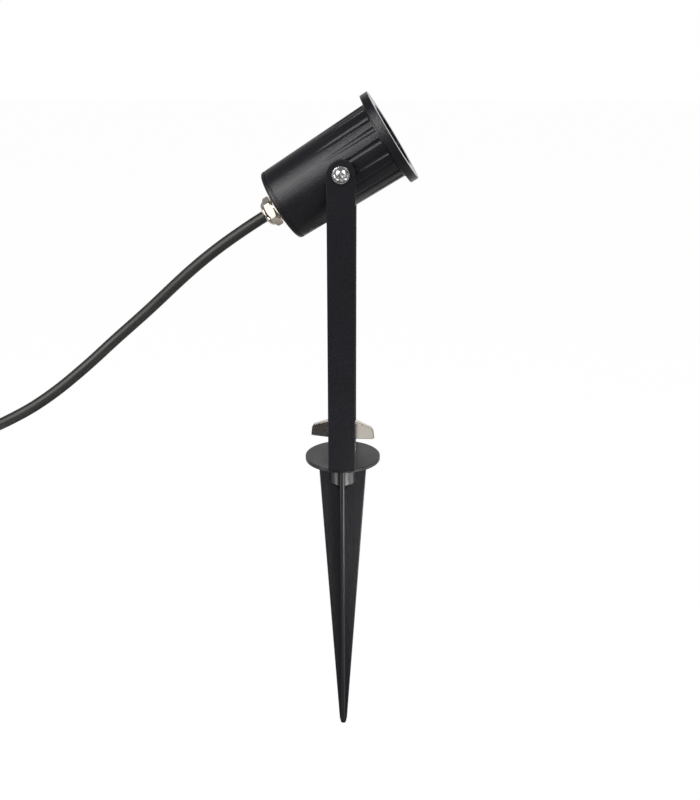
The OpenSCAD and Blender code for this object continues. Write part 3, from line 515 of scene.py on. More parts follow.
def soften(corners, size, steps=5):
    """Rounds the corners of a closed outline. The size is one number, or a list for the corners."""
    sizes = size if isinstance(size, list) else [size] * len(corners)
    rounded = []
    for i, radius in enumerate(sizes):
        here = Vector(corners[i])
        back, on = Vector(corners[i - 1]) - here, Vector(corners[(i + 1) % len(corners)]) - here
        half = back.angle(on) / 2
        if radius <= 0 or half > NEARLY_STRAIGHT:
            rounded.append(here)
            continue
        cut = min(radius / tan(half), back.length * 0.49, on.length * 0.49)
        start, end = here + back.normalized() * cut, here + on.normalized() * cut
        centre = here + (back.normalized() + on.normalized()).normalized() * cut / cos(half)
        first, last, sweep = start - centre, end - centre, pi - 2 * half
        guard = min(0.08, radius * 0.2)
        if cut + guard < back.length / 2:
            rounded.append(start + back.normalized() * guard)
        for t in (k / steps for k in range(steps + 1)):
            rounded.append(centre + (first * sin((1 - t) * sweep) + last * sin(t * sweep)) / sin(sweep))
        if cut + guard < on.length / 2:
            rounded.append(end + on.normalized() * guard)
    return rounded


square = [(0, 0), (9, 0), (9, 9), (0, 9)]
print("a square with soft corners has", len(soften(square, 1)), "points")

# %% [markdown]
# ## Plates with soft edges
# The tie's lock, the bar, the blades and the wings are flat plates. Their rings are one outline, first
# moved inwards and then out along a quarter circle, up the side, and in again on the top.

# %% A plate with round edges
def plate_rings(outline, low, high, edge, steps=4):
    """Rings of a flat plate with rounded edges: in from below, up the side and in again on top."""
    outline = [Vector(point) for point in outline]
    count, inward = len(outline), []
    area = sum(outline[i - 1].x * outline[i].y - outline[i].x * outline[i - 1].y for i in range(count))
    turn = 1 if area > 0 else -1
    for i in range(count):
        back = (outline[i] - outline[i - 1]).normalized()
        on = (outline[(i + 1) % count] - outline[i]).normalized()
        normal = Vector((-(back.y + on.y), back.x + on.x)) * turn
        inward.append(normal.normalized() / max(0.4, sqrt((1 + back.dot(on)) / 2)))
    rings = []
    for end, side in ((low, 1), (high, -1)):
        arc = [(edge * (1 - sin(pi / 2 * k / steps)), end + side * edge * (1 - cos(pi / 2 * k / steps)))
               for k in range(steps + 1)]
        arc.insert(0, (edge + 0.12, end))
        for inset, height in (arc if side > 0 else reversed(arc)):
            rings.append([(p.x + n.x * inset, p.y + n.y * inset, height) for p, n in zip(outline, inward)])
    return rings


print("a square plate has", len(plate_rings(square, 0, 3, 0.5)), "rings")

# %% [markdown]
# ## The ties round the coil
# Two nylon ties hold the coil. A tie is a flat strap that is pulled tight, so in its own plane it runs
# straight from turn to turn and bends round the outer ones. For each direction, the turn that reaches
# furthest gives the strap's place, which needs no simulation. The lock sits at the widest turn.

# %% The ties round the coil
TIE_T, TIE_W, TIE_EDGE = 1.2, 3.6, 0.25
LOCK_W, LOCK_H, LOCK_HALF = 3.8, 6.4, 2.7


def crossings(angle):
    """The cable's middles in a tie's plane, as distance from the coil's middle and height."""
    places = [coil_at(turned) for turned in range((-90 - angle) % 360 - 360, turn_end, 360)]
    return [Vector((hypot(p.x - COIL_X, p.y - COIL_Y), p.z)) for p in places]


def strap_rings(middles, sides=72):
    """Rings across a strap that is pulled tight round the cable's turns, one for each direction."""
    half, soft, rings = TIE_W / 2, TIE_EDGE, []
    for way in [Vector(pair) for pair in around(sides)]:
        held = max(middles, key=way.dot)
        a, b = held + way * (CABLE_D / 2 + TIE_T), held + way * (CABLE_D / 2 + 0.05)
        rings.append([(p[0], y, p[1]) for p, y in (
            (a, -half + soft), (a, half - soft), (a.lerp(b, 0.2), half), (a.lerp(b, 0.8), half),
            (b, half - soft), (b, -half + soft), (a.lerp(b, 0.8), -half), (a.lerp(b, 0.2), -half))])
    return rings


for number, angle in enumerate((45, 225)):
    spot = (Matrix.Translation(Vector((COIL_X, COIL_Y, 0)) * MM)
            @ Matrix.Rotation(radians(angle), 4, "Z"))
    middles = crossings(angle)
    strap = skin(f"tie_strap_{number}", strap_rings(middles), spot, wrap=True)
    block = soften([(0, 0), (LOCK_W, 0), (LOCK_W, LOCK_H), (0, LOCK_H)], 0.6, 4)
    widest = max(middles, key=lambda middle: middle.x)
    lock_at = Vector((widest.x + CABLE_D / 2 + TIE_T - 0.1, 0, widest.y - LOCK_H / 2))
    lock = skin(f"tie_lock_{number}", plate_rings(block, -LOCK_HALF, LOCK_HALF, 0.5),
                spot @ Matrix.Translation(lock_at * MM) @ Matrix.Rotation(radians(90), 4, "X"))
    for part in (strap, lock):
        settle(part, "bracket", black_nylon)
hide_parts("cable_ties")
[p * MM for p in cable_path]
print("each tie holds", len(middles), "turns")

# %% [markdown]
# ## The fluted casting
# Twenty shallow flutes run back from the plain band behind the bezel. They fade out, because the
# casting narrows and their floors stay on one line. The points of each ring follow the flutes' edges,
# so that a ridge is a crisp line of the mesh and not a jagged one. A flute is a part of a cylinder,
# so its width at each height comes from where that cylinder meets the cone. It ends in a small round
# nose at the band.

# %% How wide and how deep the flutes are
FLUTES, FLUTE_W, FLUTE_DEPTH, FLUTE_END, NOSE = 20, 4.6, 0.9, 34.7, 0.6
REAR, CONE_FRONT, RING_BACK, LEDGE, FRONT = -48.4, 34.0, 36.4, 35.8, 40.1
FRONT_R, REAR_R, FLOOR_R, BAND_R, THREAD_R, SEAT_R = 28.7, 27.0, 27.8, 28.9, 31.5, 28.7
CAVITY_REAR_R, CAVITY_FRONT_R = 24.5, 26.2
flute_r = (FLUTE_W ** 2 / 4 + FLUTE_DEPTH ** 2) / FLUTE_DEPTH / 2
flute_middle = FLOOR_R + flute_r
inside = [-1, -0.86, -0.62, -0.32, 0, 0.32, 0.62, 0.86, 1]
between = [0.16, 0.5, 0.84]


def cone_r(z):
    """The casting's radius at a height, without its flutes."""
    return REAR_R + (FRONT_R - REAR_R) * (z - REAR) / (CONE_FRONT - REAR)


def flute_half(z):
    """Half the angle that a flute takes of the casting at this height."""
    r = cone_r(z)
    share = (r * r + flute_middle ** 2 - flute_r ** 2) / (2 * r * flute_middle)
    return max(radians(1.3), acos(min(1, share)))


def casting_ring(z, r_plain=None, grooved=True):
    """One ring of the casting's outside, its points gathered at the flutes' edges."""
    half, ring = flute_half(min(z, FLUTE_END)), []
    rise = max(0.0, (z - (FLUTE_END - NOSE)) / NOSE)
    depth = sqrt(max(0.0, 1 - rise * rise)) if grooved else 0
    plain = cone_r(z) if r_plain is None else r_plain
    room = 2 * pi / FLUTES - 2 * half
    for flute in range(FLUTES):
        middle = (flute + 0.5) * 2 * pi / FLUTES
        for offset in [u * half for u in inside] + [half + room * u for u in between]:
            r = plain
            if abs(offset) <= half * 1.001 and depth > 0:
                floor = flute_middle * cos(offset) - sqrt(flute_r ** 2 - (flute_middle * sin(offset)) ** 2)
                r = plain - max(0.0, plain - floor) * depth
            ring.append((r * cos(middle + offset), r * sin(middle + offset), z))
    return ring


print("a flute takes", round(2 * flute_half(FLUTE_END) * 180 / pi, 1), "degrees at its front")

# %% [markdown]
# ## The casting's rings
# The rings go up the outside, round the front with its thread and its seat for the glass, and back
# through the cavity, so the casting is hollow like the real one. They stand close together in the
# nose, where the flute's depth changes quickly.

# %% The fluted casting
outside = [REAR + 0.4, REAR + 2, -30, -15, -9, -7, -5, -3, 0, 4, 8, 13, 18, 23, 28, 31, 33]
outside += [FLUTE_END - NOSE * (1 - rise) for rise in (0, 0.3, 0.55, 0.75, 0.88, 0.96, 1)]
rings = [casting_ring(REAR, REAR_R - 0.4), casting_ring(REAR + 0.12, REAR_R - 0.12)]
rings += [casting_ring(z) for z in outside]
rings += [casting_ring(z, r, False) for r, z in (
    (BAND_R, FLUTE_END + 0.15), (BAND_R, RING_BACK - 0.15), (THREAD_R, RING_BACK),
    (THREAD_R, FRONT - 0.3), (THREAD_R - 0.3, FRONT), (SEAT_R, FRONT), (SEAT_R, LEDGE),
    (CAVITY_FRONT_R, LEDGE), (CAVITY_REAR_R, REAR))]
casting = skin("casting", rings, head_place, wrap=True, crease=28)
settle(casting, "head", black_coat, ["head_casting"])
print("the casting has", len(casting.data.vertices), "points")

# %% [markdown]
# ## Turning on the lathe
# The bezel, washers and the disc are turned: an outline of radius and height goes round the axis. A
# closed outline gives a ring with a hole, and an outline that starts and ends on the axis a solid one.

# %% Turned pieces
def turned(name, outline, place=Matrix(), steps=128, crease=35):
    """A piece turned on a lathe, from its outline of (radius, height)."""
    rings = [[(r * c, r * s, z) for r, z in outline] for c, s in around(steps)]
    return skin(name, rings, place, wrap=True, crease=crease)


print("128 steps keep a radius of 29 mm round within", round(29 * (1 - cos(pi / 128)), 3), "mm")

# %% [markdown]
# ## The side bosses
# Each pivot screw goes into a round boss that grows out of the casting with a small fillet. The foot
# of the boss has to lie on a cone, so the foot's rings are lifted from the cone's own surface. Three
# plain lugs inside the rear take the cap's screws.

# %% The side bosses and the inner lugs
SIDE_BOSS_R, SIDE_BOSS_TOP, SIDE_FILLET = 8.5, 32.2, 1.2
LUG_R, LUG_BORE_R, LUG_LENGTH, LUG_AT = 3.5, 1.6, 9, 21.5


def boss_rings(radius, top, fillet, columns=72):
    """Rings up a round boss whose foot lies on the casting's cone, with a fillet round it."""
    circle = around(columns)

    def on_cone(reach, lift):
        return [(reach * c, -(reach * s), sqrt(max(0.0, cone_r(reach * s) ** 2 - (reach * c) ** 2)) + lift)
                for c, s in circle]

    rings = [on_cone(radius * 0.4, -1.4), on_cone(radius + fillet, -1.2)]
    for a in (pi / 2 * k / 6 for k in range(7)):
        rings.append(on_cone(radius + fillet * (1 - sin(a)), fillet * (1 - cos(a)) - 0.05))
    for r, z in ((radius, top - 0.5), (radius - 0.15, top - 0.15), (radius - 0.5, top),
                 (radius * 0.5, top)):
        rings.append([(r * c, -r * s, z) for c, s in circle])
    return rings


for number, place in enumerate(side_places):
    rings = boss_rings(SIDE_BOSS_R, SIDE_BOSS_TOP, SIDE_FILLET)
    if number == 0:
        rings = [[(x, -y, z) for x, y, z in ring] for ring in rings]
    settle(skin(f"side_boss_{number}", rings, place), "head", black_coat)
for number in range(3):
    spot = (head_place @ Matrix.Rotation(radians(90 + 120 * number), 4, "Z")
            @ Matrix.Translation((LUG_AT * MM, 0, 0)))
    section = [(LUG_BORE_R, REAR), (LUG_R, REAR), (LUG_R, REAR + LUG_LENGTH),
               (LUG_BORE_R, REAR + LUG_LENGTH)]
    settle(turned(f"screw_lug_{number}", section, spot, 32), "head", black_coat)
print("two side bosses of", 2 * SIDE_BOSS_R, "mm and three lugs of", 2 * LUG_R, "mm")

# %% [markdown]
# ## The bezel
# The bezel is a turned ring that screws over the casting's front. Its edges are broken by a small
# radius, which draws the thin light lines seen in the photo. Its front face is the smoothest coat of
# the light, so the faces that look along the beam get a second material.

# %% The bezel
bezel_corners = [(31.58, 36.3), (35, 36.3), (35, 42.4), (24, 42.4), (24, 40.33), (31.58, 40.33)]
bezel = turned("bezel_ring", soften(bezel_corners, [0.1, 0.5, 0.4, 0.5, 0.1, 0.1]), head_place, 192)
settle(bezel, "bezel", black_coat, ["bezel"])
bezel.data.materials.append(face_coat)
beam = head_place.to_3x3() @ Vector((0, 0, 1))
for face in bezel.data.polygons:
    face.material_index = 1 if face.normal.dot(beam) > 0.9 else 0
print("the bezel is", 2 * max(r for r, z in bezel_corners), "mm across")

# %% [markdown]
# ## Hexagons with turned corners
# A real nut is cut from a hexagonal bar and then chamfered on a lathe, so its corners end in curved
# lines. The radius at each angle is the smaller one of the hexagon and of a cone, and that makes the
# curved lines by itself.

# %% Hexagonal pieces
def hexagon_r(flats, angle):
    """How far a hexagon's side is from its middle in one direction."""
    return flats / 2 / cos((angle % (pi / 3)) - pi / 6)


def hexed(name, levels, place, columns=144):
    """Rings of (radius, height, flats): with flats, the ring is the smaller of hexagon and circle."""
    rings = []
    for r, z, flats in levels:
        ring = []
        for a in (2 * pi * k / columns for k in range(columns)):
            size = min(r, hexagon_r(flats, a)) if flats else r
            ring.append((size * cos(a), size * sin(a), z))
        rings.append(ring)
    return skin(name, rings, place, wrap=True, crease=24)


def hex_block(start, end, flats, soft=0.15):
    """Levels of a hexagonal block from start to end, with a turned chamfer at both ends."""
    corner, way = flats / sqrt(3) - soft, 1 if end > start else -1
    chamfer = [(min(corner, flats / 2 + 0.05 + d * 1.6), 0.1 + d) for d in (0, 0.12, 0.3, 0.5, 0.75, 1.0)]
    levels = [(flats / 2 - 0.1, start, flats)]
    levels += [(r, start + way * d, flats) for r, d in chamfer]
    levels += [(r, end - way * d, flats) for r, d in reversed(chamfer)]
    return levels + [(flats / 2 - 0.1, end, flats)]


print("a 20 mm hexagon is", round(2 * hexagon_r(20, 0), 1), "mm over its corners")

# %% [markdown]
# ## The gland
# Where the cable leaves the head, a nickel gland squeezes a seal round it. Its body screws into the
# rear cap and its nut ends in a dome. Both are hexagonal pieces with a bore, so each is one list of
# levels up the outside and down the bore, and both share the turn that the photo shows.

# %% The gland
GLAND_TURN, GLAND_FLATS, BORE_R = -11, 20, 4.35
gland_place = head_place @ Matrix.Rotation(radians(GLAND_TURN), 4, "Z")
nut_levels = [(BORE_R, -56.4, 0), (9.2, -56.4, 0)] + hex_block(-56.4, -61.9, GLAND_FLATS)
nut_levels += [(r, z, 0) for r, z in (
    (9.75, -62.0), (9.6, -62.5), (9.35, -63.1), (9.0, -63.7), (8.5, -64.3), (7.9, -64.85),
    (7.3, -65.25), (6.9, -65.42), (6.5, -65.5), (4.9, -65.5), (4.55, -65.4), (BORE_R, -65.1))]
settle(hexed("gland_nut_dressed", nut_levels, gland_place), "head", nickel, ["gland_nut"])
body_levels = [(BORE_R, -45.4, 0), (7.7, -45.4, 0), (8.0, -45.7, 0), (8.0, -53.0, 0)]
body_levels += hex_block(-53.0, -55.6, GLAND_FLATS)
body_levels += [(r, z, 0) for r, z in (
    (7.6, -55.6), (7.6, -60.36), (6.45, -60.36), (6.45, -56.4), (BORE_R, -56.4))]
settle(hexed("gland_body_dressed", body_levels, gland_place), "head", nickel, ["gland_body"])
print("the gland is", GLAND_FLATS, "mm over its flats")

# %% [markdown]
# ## Pivot screws and washers
# The screws have a polished dome with a hexagon socket. The dome is a part of a sphere, and the
# socket's rings take the hexagon's radius, so both come from the same function as the nut.

# %% Pivot screws and washers
DOME_H, DOME_W, SEAT_Z = 3.3, 10.5, 37.6
dome_r = (DOME_W ** 2 / 4 + DOME_H ** 2) / DOME_H / 2


def dome_height(r):
    """The dome's height at a radius, above the screw's seat."""
    return sqrt(dome_r ** 2 - r * r) - (dome_r - DOME_H)


shank = [(0.001, -10, 0), (2.5, -10, 0), (3, -9.5, 0), (3, -0.02, 0)]
rim = [(4.9, -0.02, 0), (5.18, 0.12, 0), (5.25, 0.4, 0)]
dome = [(r, dome_height(r) + 0.25 * (r / 5.25) ** 6, 0)
        for r in (5.15, 4.95, 4.6, 4.2, 3.7, 3.2, 2.8, 2.55)]
socket = [(2.45, dome_height(2.45) - 0.02, 4.16), (2.33, dome_height(2.4) - 0.15, 4.0),
          (2.33, 1.45, 4.0), (2.1, 1.3, 3.8), (0.001, 1.0, 0)]
washer_outline = soften([(3.3, 36), (6, 36), (6, 37.58), (3.3, 37.58)], 0.3)
for number, place in enumerate(side_places):
    first = number == 0
    spot = place @ Matrix.Translation((0, 0, SEAT_Z * MM))
    screw = hexed(f"pivot_screw_{number}", shank + rim + dome + socket, spot)
    settle(screw, "head", polished_steel, ["pivot_screws"] if first else ())
    washer = turned(f"pivot_washer_{number}", washer_outline, place, 96)
    settle(washer, "head", polished_steel, ["pivot_washers"] if first else ())
print("the dome is a part of a sphere of", round(2 * dome_r, 1), "mm")

# %% [markdown]
# ## The bent bar
# The bracket is a flat steel bar, 20 by 3 mm, with round ends, bent twice. The way it is made is the
# way to model it: cut the flat shape with soft edges, slice it where it will bend, and bend it.

# %% Where each point of the bar goes
BAR_HALF, BAR_T, BEND_IN, ARM_OUT, FOOT_Z = 10, 3, 2, 36, 3
bend_start = ARM_OUT - BEND_IN - BAR_T
bend_mid = BEND_IN + BAR_T / 2
bend_run = bend_mid * pi / 2
pivot_s = bend_start + bend_run + (PIVOT_Z - FOOT_Z - BAR_T - BEND_IN)


def bent(s, x, t):
    """Where a point of the flat bar goes: s along it, x across it, t from its outer face inwards."""
    side, far = (1 if s >= 0 else -1), abs(s)
    if far <= bend_start:
        return Vector((x, side * far, FOOT_Z + t))
    a = (far - bend_start) / bend_mid
    if a < pi / 2:
        r = BEND_IN + BAR_T - t
        return Vector((x, side * (bend_start + r * sin(a)), FOOT_Z + BEND_IN + BAR_T - r * cos(a)))
    return Vector((x, side * (ARM_OUT - t), FOOT_Z + BEND_IN + BAR_T + far - bend_start - bend_run))


print("the bar is", round(2 * pivot_s + 2 * BAR_HALF), "mm long when flat")

# %% [markdown]
# ## Slice it and bend it
# A flat face can't bend between its corners, so each bend is first cut into ten strips, and the foot
# once in its middle. Then every point is moved to its bent place.

# %% The bent bar
one_end = [(pivot_s + BAR_HALF * sin(a), BAR_HALF * cos(a)) for a in [pi * k / 28 for k in range(29)]]
outline = one_end + [(-s, -x) for s, x in one_end]
bar = skin("bent_bar", plate_rings(outline, 0, BAR_T, 0.45))
shape = bmesh.new()
shape.from_mesh(bar.data)
for cut in [side * (bend_start + bend_run * k / 10) for side in (-1, 1) for k in range(11)] + [0]:
    bmesh.ops.bisect_plane(shape, geom=shape.verts[:] + shape.edges[:] + shape.faces[:], dist=WELD,
                           plane_co=(cut * MM, 0, 0), plane_no=(1, 0, 0))
for vert in shape.verts:
    vert.co = bent(*(vert.co / MM)) * MM
bmesh.ops.recalc_face_normals(shape, faces=shape.faces)
shape.to_mesh(bar.data)
shape.free()
bar.data.shade_smooth()
bar.data.set_sharp_from_angle(angle=radians(35))
settle(bar, "bracket", black_coat, ["bracket"])
print("the bent bar has", len(bar.data.polygons), "faces")

# %% [markdown]
# ## The disc and the boss of the ground spike
# The spike is one casting: a disc with a rounded rim, a boss that ends in a cone, and crossed blades.
# Disc and boss are turned, and the boss is smoother, so that it catches the light as in the photo.

# %% The disc and the boss
DISC_R, DISC_T = 29, 3
BOSS_R, CONE_TOP, CONE_END, BLADE_HALF = 10, -19, -28.5, 1.6
disc_outline = soften([(0.001, 0), (DISC_R, 0), (DISC_R, DISC_T), (0.001, DISC_T)], [0, 0.35, 0.4, 0], 5)
disc = turned("ground_disc", disc_outline, Matrix(), 192)
settle(disc, "spike", dark_coat, ["ground_spike"])
boss_outline = soften([(0.001, 1), (BOSS_R, 1), (BOSS_R, CONE_TOP), (BLADE_HALF, CONE_END),
                       (0.001, CONE_END)], [0, 0, 0.5, 0.6, 0], 4)
settle(turned("spike_boss", boss_outline, Matrix(), 96), "spike", boss_coat)
print("the disc is", 2 * DISC_R, "mm across")

# %% [markdown]
# ## The blades
# Two crossed blades taper to a blunt point. Each is a plate with soft edges, as castings have, and the
# edges carry the smoother coat, since the light lines along them are what shows the cross in the
# photo. Where the boss's cone runs into a blade, a thin tube along the line of meeting is the fillet.

# %% The blades
half_blade = [(-19, 1.5), (-19, 0), (-3.1, -240.5), (-1.9, -246)]
blade_outline = soften(half_blade + [(-x, z) for x, z in reversed(half_blade)],
                       [0, 0, 3, 1.7, 1.7, 3, 0, 0], 4)
meeting = []
for x in [BOSS_R - 0.1 - (BOSS_R - BLADE_HALF) * k / 8 for k in range(9)]:
    share = (BOSS_R - sqrt(x * x + BLADE_HALF ** 2)) / (BOSS_R - BLADE_HALF)
    meeting.append((x, CONE_TOP + (CONE_END - CONE_TOP) * share))
for number in range(2):
    turn = Matrix.Rotation(radians(90 * number), 4, "Z") @ Matrix.Rotation(radians(90), 4, "X")
    blade = skin(f"spike_blade_{number}", plate_rings(blade_outline, -BLADE_HALF, BLADE_HALF, 0.8), turn)
    settle(blade, "spike", dark_coat)
    blade.data.materials.append(boss_coat)
    across = turn.to_3x3() @ Vector((0, 0, 1))
    for face in blade.data.polygons:
        face.material_index = 0 if abs(face.normal.dot(across)) > 0.97 else 1
    for corner, (side, face) in enumerate(((1, 1), (1, -1), (-1, 1), (-1, -1))):
        path = [Vector((x * side, z, BLADE_HALF * face)) for x, z in meeting]
        fillet = skin(f"boss_fillet_{4 * number + corner}", tube_rings(path, 0.32, 10), turn)
        settle(fillet, "spike", boss_coat)
print("the spike reaches", -min(z for x, z in half_blade), "mm into the ground")

# %% [markdown]
# ## Stud and washers
# The stud's thread is a real helix: the radius follows a triangle wave that moves up one pitch in one
# turn. It runs out at the bottom and is chamfered at the top. The flat washer is turned, and the
# spring washer is right as it is.

# %% Stud and washers
PITCH, THREAD_DEPTH, STUD_R = 1.5, 0.92, 5
STUD_LOW, THREAD_LOW, STUD_TOP = -16, 6, 31


def thread_rings(low, high, radius, chamfer, columns=48):
    """Rings up a screw thread, eight in each pitch."""
    rings, count = [], int((high - low) / PITCH * 8)
    for i in range(count + 1):
        z = low + (high - low) * i / count
        ring = []
        for k, (c, s) in enumerate(around(columns)):
            wave = abs(((z / PITCH - k / columns) % 1) - 0.5) * 2
            r = min(radius - THREAD_DEPTH * wave * min(1, (z - low) / PITCH), radius - chamfer + (high - z))
            ring.append((r * c, r * s, z))
        rings.append(ring)
    return rings


plain = [[(STUD_R * c, STUD_R * s, z) for c, s in around(48)] for z in (STUD_LOW, THREAD_LOW)]
threaded = thread_rings(THREAD_LOW + 0.1, STUD_TOP, STUD_R - 0.02, 1.0)
stud = skin("stud_thread", plain + threaded, crease=50)
settle(stud, "spike", steel, ["clamp_stud"])
flat = turned("flat_washer_turned", soften([(5.3, 6), (10, 6), (10, 8), (5.3, 8)], 0.25), Matrix(), 96)
settle(flat, "clamp_washers", steel, ["flat_washer"])
keep("spring_washer", steel)
print("the stud has", round((STUD_TOP - THREAD_LOW) / PITCH), "turns of thread")

# %% [markdown]
# ## The wing nut
# A wing nut is cast from zinc: a turned hub with two flat wings. A cast wing is thicker at its root
# and at its foot, so that it leaves its mould. This draft tilts its two sides a little, and the two
# wings mirror different parts of the studio, as they do in the photo.

# %% The wing nut
NUT_BASE, NUT_TURN, WING_HALF = 10.2, -9, 1.3
WING_END, WING_TOP, WING_DRAFT, WING_RISE = 25, 22, radians(8.5), radians(1)
hub_outline = soften([(5.08, 0), (10, 0), (8, 13), (5.08, 13)], [0.3, 0.5, 1.0, 0.4], 6)
nut_place = Matrix.Translation((0, 0, NUT_BASE * MM))
settle(turned("wing_hub", hub_outline, nut_place, 96), "wing_nut", cast_zinc, ["wing_nut"])
wing_outline = soften([(5.6, 8), (WING_END, 8), (24.2, 15), (22.6, 17.4), (10, WING_TOP), (5.6, 19.6)],
                      [0, 0.9, 1.2, 1.2, 1.4, 0], 5)


def drafted(x, y, t):
    """A point of the plate, moved out from its middle by the draft towards the root and the foot."""
    more = (WING_END - x) * tan(WING_DRAFT) + (WING_TOP - y) * tan(WING_RISE)
    return x, y, t * (1 + more / WING_HALF)


wing_rings = [[drafted(*point) for point in ring]
              for ring in plate_rings(wing_outline, -WING_HALF, WING_HALF, 0.5)]
for number, side in enumerate((0, 180)):
    turn = Matrix.Rotation(radians(side + NUT_TURN), 4, "Z") @ Matrix.Rotation(radians(90), 4, "X")
    settle(skin(f"wing_{number}", wing_rings, nut_place @ turn), "wing_nut", cast_zinc)
print("the wings span", 2 * WING_END, "mm")

# %% [markdown]
# ## Solids that are right as they are
# The rear cap, the gaskets, the small screws and everything inside the head are plain engineering
# shapes, and their solids are exact. They only need smooth shading and their finishes.

# %% Solids that keep their shape
kept = {
    ("black_coat", black_coat): ["rear_cap"],
    ("black_rubber", black_rubber): ["cap_gasket", "glass_gasket", "gland_washer", "gland_seal"],
    ("black_nylon", black_nylon): ["friction_washers"],
    ("steel", steel): ["cap_screws", "holder_bridge", "bridge_screws", "holder_screws", "earth_tag"],
    ("nickel", nickel): ["gland_locknut"],
    ("ceramic", ceramic): ["lamp_holder"],
    ("brass", brass): ["holder_contacts", "earth_screw", "lamp_pins"],
    ("brown_insulation", brown_insulation): ["lead_live"],
    ("blue_insulation", blue_insulation): ["lead_neutral"],
    ("earth_insulation", earth_insulation): ["lead_earth"],
    ("white_plastic", white_plastic): ["lamp_base", "light_board"],
    ("lamp_shell", lamp_shell): ["lamp_body"],
    ("light_chip", light_chip): ["light_chips"],
    ("clear_glass", clear_glass): ["cover_glass"],
    ("clear_lens", clear_lens): ["lamp_lens"],
}
for (slot, material), nodes in kept.items():
    for node in nodes:
        keep(node, material)
print("kept", sum(len(nodes) for nodes in kept.values()), "solids as they are")

# %% [markdown]
# ## What a ray may see
# The photo has a plain white ground, but a black object with gloss lives by what it mirrors: a studio
# puts white and dark cards round it. The Light Path node tells what kind of ray asks. The camera then
# sees white, a mirror ray sees cards, and the lamps alone light the object.

# %% What a ray may see
def seen_by(paint, camera_level, mirror_level, other_level):
    """A strength for camera and transmission rays, one for glossy rays and one for all others."""
    def ray(kind):
        return paint.node("ShaderNodeLightPath", out=f"Is {kind} Ray")

    straight, mirror = ray("Camera").larger(ray("Transmission")), ray("Glossy")
    hidden = mirror * mirror_level + (1 - mirror) * other_level
    return straight * camera_level + (1 - straight) * hidden


def rise(paint, value, start, end, low=0.0, high=1.0):
    """Goes smoothly from low to high while the value goes from start to end."""
    return paint.node("ShaderNodeMapRange", {"interpolation_type": "SMOOTHSTEP"},
                      {0: value, 1: start, 2: end, 3: low, 4: high})


white = colour(1, 1, 1)
print("the camera sees the colour", white)

# %% [markdown]
# ## The world
# For a mirror ray, the world is dim in front and bright behind the object, less so high up and far to
# the left. That draws the pale band on the metal and leaves the coat black.

# %% The world
world = bpy.data.worlds.new("white_studio")
scene.world = world
world.use_nodes = True
sky = Paint("sky", world.node_tree)
way = sky.node("ShaderNodeTexCoord", out="Generated")
low = rise(sky, sky.axis(way, "Z"), 0.62, 0.42)
left = rise(sky, sky.axis(way, "X"), -0.45, -0.2, 0.2, 1.0)
back = rise(sky, sky.axis(way, "Y"), 0.0, 0.35) * (0.15 + low * 0.85) * left
sky.node("ShaderNodeOutputWorld", {}, {"Surface": sky.node("ShaderNodeBackground", {}, {
    "Color": white, "Strength": seen_by(sky, 1.0, 0.14 + back * 0.86, 0.03)})})
scene.view_settings.view_transform = "Standard"
print("the world is", world.name)

# %% [markdown]
# ## The floor
# The floor is white to the camera. For mirror rays it has a bright far part, a pale card in front on
# the right and a dark one in front on the left: the two sides of the blades and of the bar differ in
# the photo because of them. Seen from below it is gone, so that a view from there shows the object.

# %% The floor
FLOOR_Z, FLOOR_HALF = -0.262, 6
floor_paint = Paint("floor_white")
place = floor_paint.node("ShaderNodeNewGeometry", out="Position")
across, along = floor_paint.axis(place, "X"), floor_paint.axis(place, "Y")
back = rise(floor_paint, along, -0.1, 0.8)
slanted = across - along * 0.15
pale_card = rise(floor_paint, slanted, 0.0, 0.05) * (0.45 - rise(floor_paint, slanted, 0.12, 0.20) * 0.45)
dark_card = (rise(floor_paint, across, 0.02, -0.10) * rise(floor_paint, along, -0.15, -0.28)
             * rise(floor_paint, along, -1.15, -0.95))
mirrored = 0.16 - dark_card * 0.15 + 0.84 * back.larger(pale_card)
glow = floor_paint.node("ShaderNodeEmission", {}, {
    "Color": white, "Strength": seen_by(floor_paint, 0.985, mirrored, 0.02)})
matte = floor_paint.node("ShaderNodeBsdfDiffuse", {}, {"Color": colour(0.04, 0.04, 0.04)})
lit = floor_paint.node("ShaderNodeAddShader", {}, {0: glow, 1: matte})
under = floor_paint.node("ShaderNodeNewGeometry", out="Backfacing")
gone = floor_paint.node("ShaderNodeBsdfTransparent")
floor_paint.node("ShaderNodeOutputMaterial", {}, {
    "Surface": floor_paint.node("ShaderNodeMixShader", {}, {0: under, 1: lit, 2: gone})})
floor_mesh = bpy.data.meshes.new("floor")
floor_corners = [(x * FLOOR_HALF, y * FLOOR_HALF, FLOOR_Z) for x, y in ((-1, -1), (1, -1), (1, 1), (-1, 1))]
floor_mesh.from_pydata(floor_corners, [], [(0, 1, 2, 3)])
floor = bpy.data.objects.new("floor", floor_mesh)
scene.collection.objects.link(floor)
floor_mesh.materials.append(floor_paint.material)
print("the floor lies", round(-FLOOR_Z / MM), "mm below the disc")

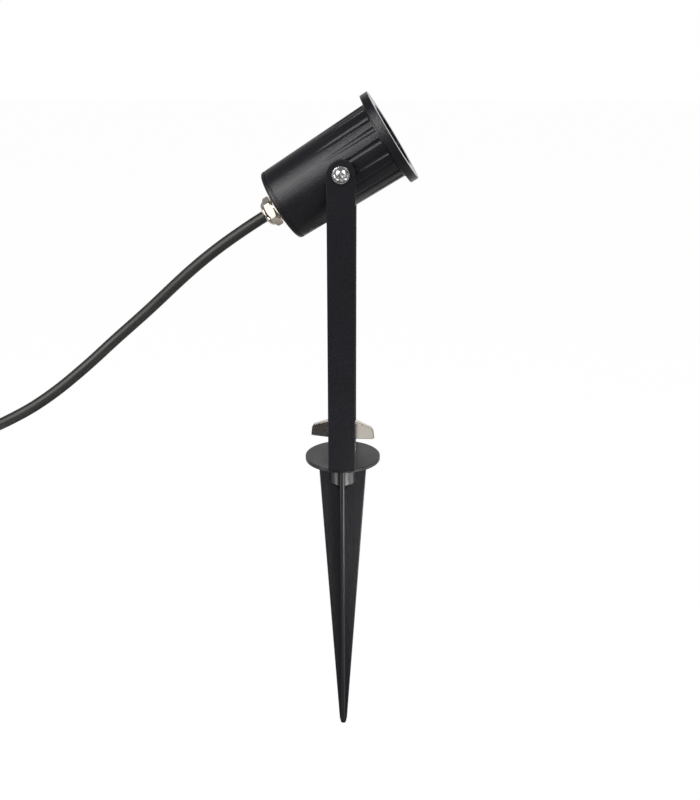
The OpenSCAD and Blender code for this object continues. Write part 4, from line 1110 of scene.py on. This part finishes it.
# %% [markdown]
# ## The lamps
# Ten soft lamps stand round the object. The key lamp is at the upper left, as in the photo, and high
# and right fills weaken its shadows. The rest are small and close, and each draws one light line: on
# the head's rim, along the bar, on the blades. A lamp is given by where it is seen from the object and
# how many degrees it covers, because that alone makes its reflection. A grid keeps a close lamp's
# light within a cone, as in front of a real softbox, and its power is cut to keep its brightness.

# %% The lamps
def soft_lamp(name, heading, height, wide, high, level, reach=1.6, middle=(0, 0, 0.12), grid=None):
    """A lamp at a heading and a height in degrees as seen from the middle, so wide and high in degrees."""
    up, round_it = radians(height), radians(heading)
    way = Vector((cos(up) * cos(round_it), cos(up) * sin(round_it), sin(up)))
    data = bpy.data.lights.new(name, "AREA")
    data.shape = "RECTANGLE"
    data.size, data.size_y = [2 * reach * tan(radians(side / 2)) for side in (wide, high)]
    data.energy = level * pi * data.size * data.size_y
    if grid:
        half = radians(grid / 2)
        data.spread = 2 * half
        data.energy *= 1 - half / tan(half)
    lamp = bpy.data.objects.new(name, data)
    scene.collection.objects.link(lamp)
    lamp.location = Vector(middle) + way * reach
    lamp.rotation_euler = (-way).to_track_quat("-Z", "Y").to_euler()


# name, heading, height, wide, high, level
soft_lamp("key_lamp", -132, 33, 34, 34, 6.8)
soft_lamp("high_fill", -45, 40, 30, 30, 3.5)
soft_lamp("left_panel", -117, 8, 26, 18, 1.4)
soft_lamp("right_fill", -35, 5, 20, 40, 0.8)
soft_lamp("left_rim", -176, -10, 14, 32, 2.5, reach=0.8)
soft_lamp("front_panel", -87, -18, 30, 18, 0.34, reach=0.65, middle=(0, 0, 0.02))
soft_lamp("low_fill", -52, -22, 26, 18, 17.0, reach=0.3, middle=(0, 0, -0.08), grid=60)
soft_lamp("right_strip", -22, -22, 34, 24, 2.4, reach=0.42, middle=(0, 0, -0.05), grid=70)
soft_lamp("right_edge", 3, -18, 20, 36, 3.0, reach=0.45, middle=(0, 0, -0.12))
soft_lamp("edge_lamp", -153, -48, 12, 12, 5.0, reach=0.5, middle=(0.03, 0, 0.24))

# %% [markdown]
# The pieces must stay within the box of the solids.
